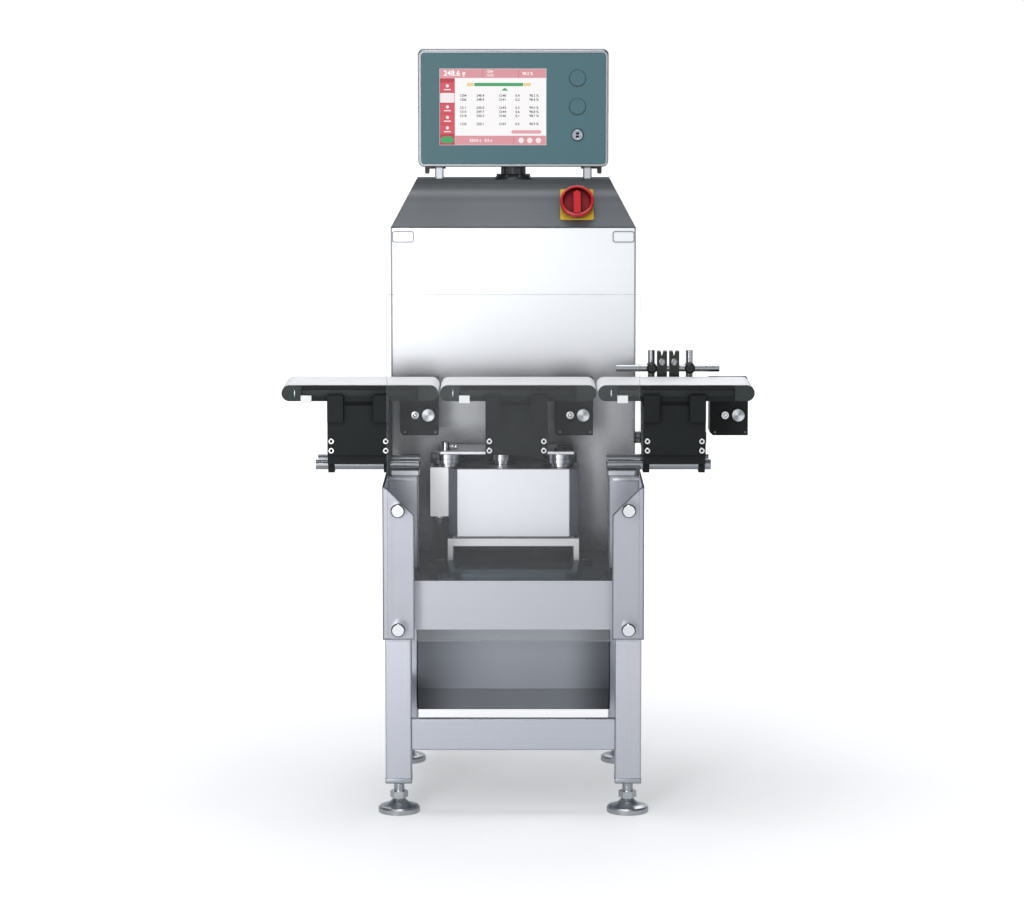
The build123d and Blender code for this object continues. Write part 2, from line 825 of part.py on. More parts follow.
# The operator terminal: a shallow rounded case with a sunk front
terminal_front_y = leg_front_y + terminal_setback
terminal_z = (terminal_bottom + terminal_top) / 2
with BuildPart() as terminal:
    with BuildSketch(front_plane(terminal_front_y + terminal_depth)):
        with Locations((frame_shift, terminal_z)):
            RectangleRounded(terminal_width, terminal_height, terminal_corner)
    extrude(amount=terminal_depth)
    fillet(terminal.faces().filter_by(Axis.Y).edges(), terminal_edge_r)
    with BuildSketch(front_plane(terminal_front_y)):
        with Locations((frame_shift, terminal_z)):
            RectangleRounded(
                terminal_width - 2 * film_margin,
                terminal_height - 2 * film_margin,
                terminal_corner - film_margin,
            )
    extrude(amount=-film_depth, mode=Mode.SUBTRACT)
    slab(
        (
            frame_shift - terminal_width / 2 + terminal_corner,
            frame_shift + terminal_width / 2 - terminal_corner,
        ),
        (
            terminal_front_y + film_depth + terminal_wall,
            terminal_front_y + terminal_depth - terminal_wall,
        ),
        (terminal_bottom + terminal_corner, terminal_top - terminal_corner),
        Mode.SUBTRACT,
    )
write(terminal, "terminal_case")

# The film over the terminal's front, with the window of the screen cut out of it
screen_place = (
    frame_shift - terminal_width / 2 + screen_left_margin + screen_width / 2,
    terminal_bottom + screen_bottom_margin + screen_height / 2,
)
film_back_y = terminal_front_y + film_depth
with BuildPart() as film:
    with BuildSketch(front_plane(film_back_y)):
        with Locations((frame_shift, terminal_z)):
            RectangleRounded(
                terminal_width - 2 * (film_margin + film_gap),
                terminal_height - 2 * (film_margin + film_gap),
                terminal_corner - film_margin - film_gap,
            )
        with Locations(screen_place):
            Rectangle(screen_width, screen_height, mode=Mode.SUBTRACT)
    extrude(amount=film_depth - film_sunk)
write(film, "terminal_film")

with BuildPart() as screen:
    with BuildSketch(front_plane(film_back_y)):
        with Locations(screen_place):
            Rectangle(screen_width - 2 * film_gap, screen_height - 2 * film_gap)
    extrude(amount=film_depth - 2 * film_sunk)
write(screen, "terminal_screen")

# What holds the terminal: two uprights, and a round neck in the middle
upright_y = (
    cabinet_front_y + hood_inset + upright_inset,
    cabinet_front_y + hood_inset + upright_inset + upright_depth,
)
with BuildPart() as uprights:
    for side in (-1, 1):
        across = span(side, upright_x - upright_width / 2, upright_x + upright_width / 2)
        slab(across, upright_y, (hood_top, terminal_bottom))
write(uprights, "terminal_uprights")

with BuildPart() as neck:
    neck_place = (frame_shift, (cabinet_front_y + cabinet_back_y) / 2 - hood_inset / 4)
    with BuildSketch(Plane.XY.offset(hood_top)):
        with Locations(neck_place):
            Circle(neck_r)
    extrude(amount=terminal_bottom - hood_top)
    with BuildSketch(Plane.XY.offset(hood_top)):
        with Locations(neck_place):
            Circle(neck_flange_r)
    extrude(amount=neck_flange_height)
write(neck, "terminal_neck")

# The two hooks under the terminal, each a bar behind an upright with a finger at its outer end
with BuildPart() as hooks:
    for side in (-1, 1):
        hook_y = (upright_y[1], upright_y[1] + hook_depth)
        slab(span(side, hook_inner, hook_outer), hook_y, (terminal_bottom - hook_bar, terminal_bottom))
        finger = span(side, hook_outer - hook_finger, hook_outer)
        slab(finger, hook_y, (terminal_bottom - hook_drop, terminal_bottom - hook_bar))
write(hooks, "terminal_hooks")

# The bracket behind the outfeed carrier, and the rods of the product sensors that it carries
bracket_y = (
    leg_front_y + sensor_post_setback - bracket_depth / 2,
    leg_front_y + sensor_post_setback + bracket_depth / 2,
)
bracket_z = (carrier_bottom, carrier_bottom + bracket_height)
outfeed_x = conveyor_pitch
post_xs = (outfeed_x - sensor_post_left, outfeed_x + sensor_post_right)
with BuildPart() as bracket:
    slab((outfeed_x - bracket_left, outfeed_x + bracket_right), bracket_y, bracket_z)
    for x in post_xs:
        slab((x - bracket_arm / 2, x + bracket_arm / 2), (conveyor_back_y, bracket_y[0]), bracket_z)
write(bracket, "sensor_bracket")

rod_y = leg_front_y + sensor_rod_setback
post_y = leg_front_y + sensor_post_setback
with BuildPart() as rods:
    with BuildSketch(Plane.XY.offset(bracket_z[1])):
        with Locations(*[(x, post_y) for x in post_xs]):
            Circle(sensor_rod_r)
    extrude(amount=sensor_top - bracket_z[1])
    with BuildSketch(Plane.YZ.offset(outfeed_x - sensor_rod_left)):
        with Locations((rod_y, sensor_rod_z)):
            Circle(sensor_rod_r)
    extrude(amount=sensor_rod_left + sensor_rod_right)
write(rods, "sensor_rods")


def bore_for_rod():
    """Cut the room for the level rod through everything in the part being built."""
    length = sensor_rod_left + sensor_rod_right
    with Locations((outfeed_x - sensor_rod_left + length / 2, rod_y, sensor_rod_z)):
        Cylinder(sensor_rod_r + rod_clearance, length, rotation=(0, 90, 0), mode=Mode.SUBTRACT)


# The round clamps where the rods cross
with BuildPart() as clamps:
    clamp_range = (rod_y - sensor_rod_r - rod_clamp_cover, post_y + sensor_rod_r + rod_clamp_cover)
    with BuildSketch(front_plane(clamp_range[1])):
        with Locations(*[(x, sensor_rod_z) for x in post_xs]):
            Circle(rod_clamp_r)
    extrude(amount=clamp_range[1] - clamp_range[0])
    bore_for_rod()
    with BuildSketch(Plane.XY.offset(bracket_z[1])):
        with Locations(*[(x, post_y) for x in post_xs]):
            Circle(sensor_rod_r + rod_clearance)
    extrude(amount=sensor_top - bracket_z[1], mode=Mode.SUBTRACT)
write(clamps, "rod_clamps")

# The two sensor heads on the level rod, each with a notch in its top
with BuildPart() as heads:
    head_bottom = line_height - head_drop
    for x in (outfeed_x - head_left, outfeed_x + head_right):
        head_x = (x - head_width / 2, x + head_width / 2)
        head_y = (rod_y - head_depth / 2, rod_y + head_depth / 2)
        with BuildSketch(front_plane(head_y[1])):
            with BuildLine():
                Polyline(
                    (head_x[0], head_bottom),
                    (head_x[1], head_bottom),
                    (head_x[1], sensor_top),
                    (x + head_notch / 2, sensor_top),
                    (x, sensor_top - 2 * head_notch),
                    (x - head_notch / 2, sensor_top),
                    (head_x[0], sensor_top),
                    close=True,
                )
            make_face()
        extrude(amount=head_depth)
    bore_for_rod()
write(heads, "sensor_heads")
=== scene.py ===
import cmath
import math

import bmesh
import bpy
from mathutils import Matrix, Vector


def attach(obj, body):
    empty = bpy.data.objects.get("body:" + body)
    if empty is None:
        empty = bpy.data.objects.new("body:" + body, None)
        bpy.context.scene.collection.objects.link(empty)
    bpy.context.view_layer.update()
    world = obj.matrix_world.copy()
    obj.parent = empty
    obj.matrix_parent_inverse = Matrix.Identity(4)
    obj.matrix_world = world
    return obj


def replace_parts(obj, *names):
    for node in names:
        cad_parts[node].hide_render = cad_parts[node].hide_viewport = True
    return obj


# The camera stands six and a half metres in front of the machine, a little above the terminal, and looks
# slightly down. Its lens is long, so the upright edges stay upright.
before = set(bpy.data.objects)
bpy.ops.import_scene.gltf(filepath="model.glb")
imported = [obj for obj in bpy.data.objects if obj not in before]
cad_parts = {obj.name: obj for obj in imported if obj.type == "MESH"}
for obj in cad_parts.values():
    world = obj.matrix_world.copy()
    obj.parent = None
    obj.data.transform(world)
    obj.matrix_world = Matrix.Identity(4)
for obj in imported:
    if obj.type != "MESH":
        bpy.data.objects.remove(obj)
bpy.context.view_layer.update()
look_down = math.radians(6.568)
eye = bpy.data.objects.new("eye", bpy.data.cameras.new("eye"))
bpy.context.scene.collection.objects.link(eye)
eye.location = (-0.0093, -6.6266, 1.5537)
eye.rotation_euler = (math.pi / 2 - look_down, 0, 0)
eye.data.lens = 118.6
eye.data.sensor_width = 36
eye.data.shift_x = -0.0013
eye.data.shift_y = -0.06
bpy.context.scene.camera = eye
bpy.context.scene.view_settings.view_transform = "Standard"


def linear(code, factor=1.0):
    """The linear colour that a shader takes, from an sRGB hex code, its light times a factor."""
    parts = [int(code[i : i + 2], 16) / 255 for i in (1, 3, 5)]
    light = [p / 12.92 if p <= 0.04045 else ((p + 0.055) / 1.055) ** 2.4 for p in parts]
    return [min(1.0, v * factor) for v in light] + [1.0]


def fill(owner, made, inputs):
    """Sets a node's sockets to values, or links them to the sockets of other nodes."""
    for socket, value in inputs.items():
        if isinstance(value, bpy.types.NodeSocket):
            owner.node_tree.links.new(value, made.inputs[socket])
        else:
            made.inputs[socket].default_value = value


def node(owner, kind, inputs=None, **settings):
    """Adds one node to a material or world, with its settings, its values and its links."""
    made = owner.node_tree.nodes.new(kind)
    for name, value in settings.items():
        setattr(made, name, value)
    fill(owner, made, inputs or {})
    return made


def tint(made, first, last, between=None):
    """Colours a ramp from its first colour to its last one, with hex codes at places between them."""
    stops = made.color_ramp.elements
    stops[0].color, stops[1].color = first, last
    for place, code in (between or {}).items():
        stops.new(place).color = linear(code)


# The studio is a white room whose front wall is bright at eye height and darker above, with dark flags at both
# sides. Satin steel needs such dark sides to show its edges.
studio = bpy.data.worlds.new("studio")
bpy.context.scene.world = studio
studio.use_nodes = True
studio.node_tree.nodes.clear()
aim = node(studio, "ShaderNodeTexCoord")
aim_parts = node(studio, "ShaderNodeSeparateXYZ", {"Vector": aim.outputs["Generated"]})
around = node(studio, "ShaderNodeMapRange", {"Value": aim_parts.outputs["Y"], "From Min": -1.0, "From Max": 1.0})
walls = node(studio, "ShaderNodeValToRGB", {"Fac": around.outputs["Result"]})
tint(walls, linear("#ffffff"), linear("#c9ccd1"), {0.14: "#f2f3f6", 0.34: "#7e8286", 0.5: "#6a6e72"})
upward = node(studio, "ShaderNodeMapRange", {"Value": aim_parts.outputs["Z"], "From Min": 0.0, "From Max": 1.0})
ceiling = node(studio, "ShaderNodeValToRGB", {"Fac": upward.outputs["Result"]})
tint(ceiling, linear("#e6e6e6"), linear("#9c9ea0"), {0.3: "#dedede", 0.55: "#a2a4a6", 0.8: "#8c8e90"})
wall_by_height = {0: 1.0, 6: walls.outputs["Color"], 7: ceiling.outputs["Color"]}
room = node(studio, "ShaderNodeMix", wall_by_height, data_type="RGBA", blend_type="MULTIPLY")
surround = node(studio, "ShaderNodeBackground", {"Color": room.outputs[2], "Strength": 1.0})
backdrop = node(studio, "ShaderNodeBackground", {"Color": linear("#ffffff"), "Strength": 1.0})
ray = node(studio, "ShaderNodeLightPath")
either = {0: ray.outputs["Is Camera Ray"], 1: surround.outputs[0], 2: backdrop.outputs[0]}
seen = node(studio, "ShaderNodeMixShader", either)
node(studio, "ShaderNodeOutputWorld", {"Surface": seen.outputs[0]})

# Four soft boxes light the machine: a tall one in front at the left, which gives the satin steel its bright side, a
# weak one at the right, and one each above and behind. All of them point at the machine's middle.
machine_middle = Vector((0, 0, 0.7))
for name, place, wide, high, power in (
    ("lamp_left", (-1.35, -3.9, 1.5), 0.9, 3.0, 54),
    ("lamp_right", (3.0, -3.0, 1.4), 0.6, 2.8, 10),
    ("lamp_back", (0.4, 3.4, 3.0), 2.4, 2.4, 30),
    ("lamp_top", (-0.3, 0.2, 4.2), 2.4, 2.4, 84),
):
    lamp = bpy.data.objects.new(name, bpy.data.lights.new(name, "AREA"))
    bpy.context.scene.collection.objects.link(lamp)
    lamp.data.shape = "RECTANGLE"
    lamp.data.size = wide
    lamp.data.size_y = high
    lamp.data.energy = power
    lamp.location = place
    lamp.rotation_euler = (machine_middle - Vector(place)).to_track_quat("-Z", "Y").to_euler()

# The floor is white paint with a faint gloss. It is seen as white from a few metres away, and keeps the machine's
# soft shadow close by. Steel mirrors it darker near the machine, where the machine stands in its own light.
floor_paint = bpy.data.materials.new("floor_paint")
floor_paint.use_nodes = True
floor_paint.node_tree.nodes.clear()
ray = node(floor_paint, "ShaderNodeLightPath")
spot = node(floor_paint, "ShaderNodeTexCoord")
away = node(floor_paint, "ShaderNodeVectorMath", {0: spot.outputs["Object"]}, operation="LENGTH")
paint = node(floor_paint, "ShaderNodeBsdfDiffuse", {"Color": linear("#dcdde0")})
nearby = {"Value": away.outputs["Value"], "From Min": 0.6, "From Max": 3.0, "To Min": 0.42, "To Max": 1.0}
near_glow = node(floor_paint, "ShaderNodeMapRange", nearby)
further = {"Value": away.outputs["Value"], "From Min": 0.8, "From Max": 3.6, "To Min": 0.22, "To Max": 0.66}
far_glow = node(floor_paint, "ShaderNodeMapRange", further)
white = linear("#ffffff")
seen_glow = node(floor_paint, "ShaderNodeEmission", {"Color": white, "Strength": near_glow.outputs["Result"]})
mirrored_glow = node(floor_paint, "ShaderNodeEmission", {"Color": white, "Strength": far_glow.outputs["Result"]})
seen_floor = node(floor_paint, "ShaderNodeAddShader", {0: paint.outputs[0], 1: seen_glow.outputs[0]})
dim_paint = node(floor_paint, "ShaderNodeBsdfDiffuse", {"Color": linear("#b4b7bb")})
mirrored_floor = node(floor_paint, "ShaderNodeAddShader", {0: dim_paint.outputs[0], 1: mirrored_glow.outputs[0]})
straight = {0: ray.outputs["Is Camera Ray"], 1: ray.outputs["Is Transmission Ray"]}
through = node(floor_paint, "ShaderNodeMath", straight, operation="MAXIMUM")
mirrored = {0: ray.outputs["Is Glossy Ray"], 1: paint.outputs[0], 2: mirrored_floor.outputs[0]}
glossy = node(floor_paint, "ShaderNodeMixShader", mirrored)
shown = {0: through.outputs[0], 1: glossy.outputs[0], 2: seen_floor.outputs[0]}
either = node(floor_paint, "ShaderNodeMixShader", shown)
node(floor_paint, "ShaderNodeOutputMaterial", {"Surface": either.outputs[0]})
bm = bmesh.new()
bmesh.ops.create_grid(bm, x_segments=1, y_segments=1, size=40)
ground = bpy.data.objects.new("ground", bpy.data.meshes.new("ground"))
bm.to_mesh(ground.data)
bm.free()
ground.data.materials.append(floor_paint)
bpy.context.scene.collection.objects.link(ground)

# The frame is welded from 50 mm square stainless tube and flat tube, blasted and brushed along each tube. The
# grain runs along the tube, so the light spreads across it in soft bands. Painted shade darkens each tube along its
# edges, and the posts in their nooks.
middle_x = -9.3
leg_front = -281.0
shoulder = 447.0
leg_places = [(middle_x + x, leg_front + y) for x in (-220, 220) for y in (25, 465)]


def dress(material, *names):
    """Gives a finish to nodes of the construction."""
    for name in names:
        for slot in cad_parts[name].material_slots:
            slot.material = material


def start_finish(name, metallic=0.0):
    """Starts a finish. Returns the material, its shader, and where a point lies on the machine, in metres."""
    made = bpy.data.materials.new(name)
    made.use_nodes = True
    shader = made.node_tree.nodes["Principled BSDF"]
    shader.inputs["Metallic"].default_value = metallic
    return made, shader, node(made, "ShaderNodeTexCoord").outputs["Object"]


def paint_shade(owner, colour, depth, reach, inner=False):
    """Paints shade into a colour in nooks, where parts stand closer than a reach in metres, or along the part's own
    edges.
    """
    nook = node(owner, "ShaderNodeAmbientOcclusion", {"Distance": reach}, samples=4, inside=inner, only_local=inner)
    openness = node(owner, "ShaderNodeMath", {0: nook.outputs["AO"], 1: depth}, operation="POWER")
    shaded = {0: 1.0, 6: colour, 7: openness.outputs[0]}
    return node(owner, "ShaderNodeMix", shaded, data_type="RGBA", blend_type="MULTIPLY").outputs[2]


def brushed_steel(name, colour, roughness, along, contrast=0.05, shade_nooks=(), rim=0.0):
    """Satin stainless steel whose grain runs along one axis. The real grain is 0.1 mm wide; it is drawn 3 mm wide.

    Shade nooks are pairs of depth and reach of painted shade. The rim is how far painted shade reaches in from the
    edges.
    """
    steel, shader, where = start_finish(name, 1.0)
    grain_length, grain_width, cloud_size = 0.25, 0.003, 0.22
    scale = [1 / (grain_length if letter == along else grain_width) for letter in "XYZ"]
    stretched = node(steel, "ShaderNodeMapping", {"Vector": where, "Scale": scale})
    grain = node(steel, "ShaderNodeTexNoise", {"Vector": stretched.outputs[0], "Scale": 1.0, "Detail": 3.0})
    cloud = node(steel, "ShaderNodeTexNoise", {"Vector": where, "Scale": 1 / cloud_size, "Detail": 1.0})
    both = node(steel, "ShaderNodeMath", {0: grain.outputs["Fac"], 1: cloud.outputs["Fac"]}, operation="ADD")
    spread = {"Value": both.outputs[0], "From Min": 0.6, "From Max": 1.4}
    tone = node(steel, "ShaderNodeMapRange", spread)
    shade = node(steel, "ShaderNodeValToRGB", {"Fac": tone.outputs[0]})
    tint(shade, linear(colour, 1 - contrast), linear(colour, 1 + contrast))
    satin = node(steel, "ShaderNodeMapRange", {**spread, "To Min": roughness + 0.05, "To Max": roughness - 0.04})
    rubbed = {"Height": grain.outputs["Fac"], "Strength": roughness**2 / 2, "Distance": 0.0003}
    rub = node(steel, "ShaderNodeBump", rubbed)
    skin = shade.outputs[0]
    for depth, reach in shade_nooks:
        skin = paint_shade(steel, skin, depth, reach)
    if rim:
        skin = paint_shade(steel, skin, 4.0, rim, True)
    fill(steel, shader, {"Base Color": skin, "Roughness": satin.outputs[0], "Normal": rub.outputs[0]})
    return steel


upright_tube = brushed_steel("brushed_stainless_upright_tube", "#d6d8e0", 0.34, "Z", rim=0.0028)
post_tube = brushed_steel("brushed_stainless_post", "#dddfe7", 0.34, "Z", 0.04, [(0.8, 0.08)], 0.0028)
cross_tube = brushed_steel("brushed_stainless_cross_tube", "#d2d5de", 0.34, "X", rim=0.0019)
side_tube = brushed_steel("brushed_stainless_side_tube", "#c9ccd5", 0.34, "Y", rim=0.0019)
dress(upright_tube, "front_legs", "rear_legs")
dress(post_tube, "bar_posts")
dress(cross_tube, "cross_beam")
dress(side_tube, "side_beams")


def piece(name, bm, material, body="machine", smooth=32):
    """Makes a mesh that was built in millimetres into a piece of the object that rides on a body."""
    bmesh.ops.scale(bm, vec=(0.001, 0.001, 0.001), verts=bm.verts)
    bmesh.ops.recalc_face_normals(bm, faces=bm.faces)
    mesh = bpy.data.meshes.new(name)
    bm.to_mesh(mesh)
    bm.free()
    mesh.shade_smooth()
    mesh.set_sharp_from_angle(angle=math.radians(smooth))
    mesh.materials.append(material)
    made = bpy.data.objects.new(name, mesh)
    bpy.context.scene.collection.objects.link(made)
    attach(made, body)
    return made


def block(bm, x, y, z, edge=0.0):
    """Adds a block that spans three ranges, with its edges rounded."""
    size = (x[1] - x[0], y[1] - y[0], z[1] - z[0])
    middle = Vector(((x[0] + x[1]) / 2, (y[0] + y[1]) / 2, (z[0] + z[1]) / 2))
    made = bmesh.ops.create_cube(bm, size=1, matrix=Matrix.Translation(middle) @ Matrix.Diagonal((*size, 1)))
    if edge:
        edges = dict.fromkeys(e for v in made["verts"] for e in v.link_edges)
        bmesh.ops.bevel(bm, geom=list(edges), offset=edge, segments=3, profile=0.5, affect="EDGES")


# Each leg is closed at its foot by a pressed steel plug that is pushed into the tube. Only its flange shows, as a
# narrow band. It is duller than the tube, because it isn't brushed after pressing. Painted shade darkens its edges.
leg_bottom = 60.0
plug_half, plug_low, plug_high = 25.3, 0.2, 10.0
plug_steel = brushed_steel("pressed_end_plug_steel", "#bcbfc6", 0.4, "X", rim=0.0019)
bm = bmesh.new()
for x, y in leg_places:
    across, along = (x - plug_half, x + plug_half), (y - plug_half, y + plug_half)
    block(bm, across, along, (leg_bottom + plug_low, leg_bottom + plug_high), 0.6)
piece("leg_end_plugs", bm, plug_steel)

# The machine feet are turned from steel and chromed dark: a disc that rises to a collar, a lock nut and a threaded
# spindle that screws into the leg. They are glossy, so they mirror the pale floor and the dark underside.
dark_chrome, shader, where = start_finish("dark_chromed_turned_steel", 1.0)
wear = node(dark_chrome, "ShaderNodeTexNoise", {"Vector": where, "Scale": 1 / 0.012, "Detail": 2.0})
shade = node(dark_chrome, "ShaderNodeValToRGB", {"Fac": wear.outputs["Fac"]})
tint(shade, linear("#c2c6ca"), linear("#dcdfe2"))
gloss = node(dark_chrome, "ShaderNodeMapRange", {"Value": wear.outputs["Fac"], "To Min": 0.24, "To Max": 0.34})
fill(dark_chrome, shader, {"Base Color": shade.outputs[0], "Roughness": gloss.outputs[0]})
dress(dark_chrome, "feet")

thread_pitch, thread_low, thread_high = 2.5, 42.0, 59.4
thread_root, thread_crest = 9.7, 10.4
thread_profile = ((thread_root, -0.9), (thread_crest, -0.2), (thread_crest, 0.2), (thread_root, 0.9))
steps = 24
bm = bmesh.new()
for x, y in leg_places:
    rows = []
    for i in range(int((thread_high - thread_low) / thread_pitch * steps)):
        angle = 2 * math.pi * i / steps
        height = thread_low + thread_pitch * i / steps
        ring = [(x + r * math.cos(angle), y + r * math.sin(angle), height + lift) for r, lift in thread_profile]
        rows.append([bm.verts.new(corner) for corner in ring])
    for low, high in zip(rows, rows[1:]):
        for a in range(len(thread_profile) - 1):
            bm.faces.new((low[a], high[a], high[a + 1], low[a + 1]))
piece("spindle_threads", bm, dark_chrome)

# The base is a heavy closed box of stainless sheet, welded in between the legs. Its front is satin and its top is
# ground smooth, so the weigh cell's stand mirrors in it. Painted shade darkens the top where the stand and the
# cabinet stand close over it.
base_half, base_setback, base_reach = 194.8, 41.6, 391.0
cabinet_front = leg_front + base_reach
base_front = brushed_steel("brushed_stainless_base", "#c8c9d1", 0.36, "X")
dress(base_front, "base")
ground_top = brushed_steel("fine_ground_stainless_top", "#8a9094", 0.16, "X", 0.03, [(1.7, 0.14)])
ground_top.node_tree.nodes["Principled BSDF"].inputs["Specular Tint"].default_value = linear("#7a8083")
top_sheet = shoulder + 0.9
bm = bmesh.new()
across = (middle_x - base_half, middle_x + base_half)
block(bm, across, (leg_front + base_setback, cabinet_front - 0.2), (shoulder + 0.05, top_sheet), 0.3)
piece("base_top_sheet", bm, ground_top)


# Two hexagon bolts with washers hold the base to the frame. They are stainless like the sheet under them, so they
# show only by their rims.
bolt_aside, bolt_y = 146, leg_front + 244
bolt_washer = [(0, 0), (11.5, 0), (11.5, 1.4), (11, 1.8), (0, 1.8)]
bolt_head = [(0, 1.8), (10, 1.8, "hex"), (10, 7.2, "hex"), (8.6, 8.2), (0, 8.2)]


def turned(bm, rings, place, axis=(0, 0, 1), sides=48, spin=0.0, stretch=1.0):
    """Adds a turned form: rings of (radius, height) along an axis from a place. A ring marked "hex" is a hexagon."""
    turn = Vector(axis).to_track_quat("Z", "Y").to_matrix()
    rows = []
    for ring in rings:
        radius, height = ring[0], ring[1]
        row = []
        for i in range(sides if radius else 1):
            angle = 2 * math.pi * i / sides
            reach = radius / math.cos(angle % (math.pi / 3) - math.pi / 6) if len(ring) > 2 else radius
            across = reach * math.cos(angle + spin)
            point = Vector((across, reach * math.sin(angle + spin) * stretch, height))
            row.append(bm.verts.new(Vector(place) + turn @ point))
        rows.append(row)
    for low, high in zip(rows, rows[1:]):
        for i in range(sides):
            j = (i + 1) % sides
            corners = [low[i % len(low)], low[j % len(low)], high[j % len(high)], high[i % len(high)]]
            bm.faces.new(list(dict.fromkeys(corners)))


bm = bmesh.new()
for side in (-1, 1):
    spot = (middle_x + side * bolt_aside, bolt_y, top_sheet)
    turned(bm, bolt_washer, spot)
    turned(bm, bolt_head, spot, spin=0.3)
piece("base_bolts", bm, ground_top)

# The side panels are 4 mm stainless sheets, screwed to the legs from outside and folded round to the front. They
# are brushed upright and a little darker than the tubes. Painted shade darkens their edges.
panel_sheet = brushed_steel("brushed_stainless_side_panel", "#bfc0c9", 0.34, "Z", rim=0.0035)
dress(panel_sheet, "side_panel_left", "side_panel_right")

# The guard pane is one clear polycarbonate sheet with polished edges. It lies a little milky over what is behind it,
# more so toward its foot, and stands on four polished stainless stand-offs with black rubber washers.
polycarbonate_ior = 1.58
clear_pane, shader, where = start_finish("clear_polycarbonate_sheet")
dust = node(clear_pane, "ShaderNodeTexNoise", {"Vector": where, "Scale": 1 / 0.15, "Detail": 2.0})
where_parts = node(clear_pane, "ShaderNodeSeparateXYZ", {"Vector": where})
rising = {"Value": where_parts.outputs["Z"], "From Min": 0.34, "From Max": 0.7, "To Min": 0.06, "To Max": 0.026}
low = node(clear_pane, "ShaderNodeMapRange", rising)
film = node(clear_pane, "ShaderNodeMapRange", {"Value": dust.outputs["Fac"], "To Min": -0.006, "To Max": 0.006})
milk = node(clear_pane, "ShaderNodeMath", {0: low.outputs[0], 1: film.outputs[0]}, operation="ADD")
fill(clear_pane, shader, {"Base Color": linear("#eef1f5"), "Roughness": 0.06, "IOR": polycarbonate_ior})
fill(clear_pane, shader, {"Alpha": milk.outputs[0]})
dress(clear_pane, "guard_pane")


def rounded(width, height, radius, steps=6):
    """The outline of a rectangle with rounded corners, about its middle."""
    outline = []
    for x, y, start in ((1, 1, 0), (-1, 1, 90), (-1, -1, 180), (1, -1, 270)):
        corner_x, corner_y = x * (width / 2 - radius), y * (height / 2 - radius)
        for i in range(steps + 1):
            angle = math.radians(start + 90 * i / steps)
            outline.append((corner_x + radius * math.cos(angle), corner_y + radius * math.sin(angle)))
    return outline


def facing_front(x, y, z):
    """The place of a sheet that faces the front: width along X, height along Z, thickness to the front."""
    return Matrix(((1, 0, 0, x), (0, 0, -1, y), (0, 1, 0, z), (0, 0, 0, 1)))


def facing_back(x, y, z):
    """The place of a sheet that faces the back."""
    return Matrix(((-1, 0, 0, x), (0, 0, 1, y), (0, 1, 0, z), (0, 0, 0, 1)))


def band(bm, outer, inner, low, high, place):
    """Adds a flat band between two outlines that have the same number of points."""
    rows = []
    for line, height in ((outer, low), (outer, high), (inner, high), (inner, low)):
        rows.append([bm.verts.new(place @ Vector((*point, height))) for point in line])
    for a in range(4):
        first, second = rows[a], rows[(a + 1) % 4]
        for i in range(len(outer)):
            j = (i + 1) % len(outer)
            bm.faces.new((first[i], first[j], second[j], second[i]))


# The pane is sawn from a larger sheet, and its edge is polished with a flame. Light gathers in the edge, so it
# shows all round as a thin grey line.
pane_edge, shader, where = start_finish("polished_polycarbonate_edge")
saw = node(pane_edge, "ShaderNodeTexNoise", {"Vector": where, "Scale": 1 / 0.003, "Detail": 2.0})
milk = node(pane_edge, "ShaderNodeMapRange", {"Value": saw.outputs["Fac"], "To Min": 0.16, "To Max": 0.22})
fill(pane_edge, shader, {"Base Color": linear("#868d91"), "Roughness": 0.12, "IOR": polycarbonate_ior})
fill(pane_edge, shader, {"Alpha": milk.outputs[0]})
pane_width, pane_height, pane_bottom = 478.0, 662.0, 342.5
bm = bmesh.new()
lie = facing_front(middle_x, leg_front - 24, pane_bottom + pane_height / 2)
outer, inner = rounded(pane_width + 0.2, pane_height + 0.2, 4.1), rounded(pane_width - 2.6, pane_height - 2.6, 2.7)
band(bm, outer, inner, -0.05, 5.05, lie)
piece("pane_edges", bm, pane_edge)

# Each stand-off is turned from stainless bar and screwed to a leg through the side panel: a round spacer, a neck
# through the pane and a cap. It is lapped bright, so it mirrors the room softly.
to_front, to_back = (0, -1, 0), (0, 1, 0)
polished, shader, where = start_finish("polished_stainless", 1.0)
lap = node(polished, "ShaderNodeTexNoise", {"Vector": where, "Scale": 1 / 0.006, "Detail": 2.0})
gloss = node(polished, "ShaderNodeMapRange", {"Value": lap.outputs["Fac"], "To Min": 0.2, "To Max": 0.3})
fill(polished, shader, {"Base Color": linear("#f4f5f8"), "Roughness": gloss.outputs[0]})
spacer = [(0, 0), (11.4, 0), (12, 0.6), (12, 19.2), (11.2, 20), (4, 20), (4, 25)]
cap = [(11.2, 25.9), (11.6, 26.2), (11.6, 27.6), (10.9, 28.3), (0, 28.3)]
standoff_aside, standoff_rises = 219, (21.4, 250.4)
washer = [(4.2, 25.05), (13.2, 25.05), (13.4, 25.3), (13.2, 25.9), (4.2, 25.9)]
bm, washers = bmesh.new(), bmesh.new()
for side in (-1, 1):
    for rise in standoff_rises:
        place = (middle_x + side * standoff_aside, leg_front - 4, pane_bottom + rise)
        turned(washers, washer, place, axis=to_front)
        turned(bm, spacer + cap, place, axis=to_front)
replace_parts(piece("pane_standoff_sets", bm, polished), "pane_standoffs")

# A washer is clamped between each cap and the pane. It is cut from black rubber sheet, which is matt with a faint
# grey bloom.
rubber, shader, where = start_finish("black_rubber_washer")
bloom = node(rubber, "ShaderNodeTexNoise", {"Vector": where, "Scale": 1 / 0.002, "Detail": 2.0})
shade = node(rubber, "ShaderNodeValToRGB", {"Fac": bloom.outputs["Fac"]})
tint(shade, linear("#1c1f20"), linear("#2a2d2f"))
fill(rubber, shader, {"Base Color": shade.outputs[0], "Roughness": 0.6})
piece("pane_washers", washers, rubber)

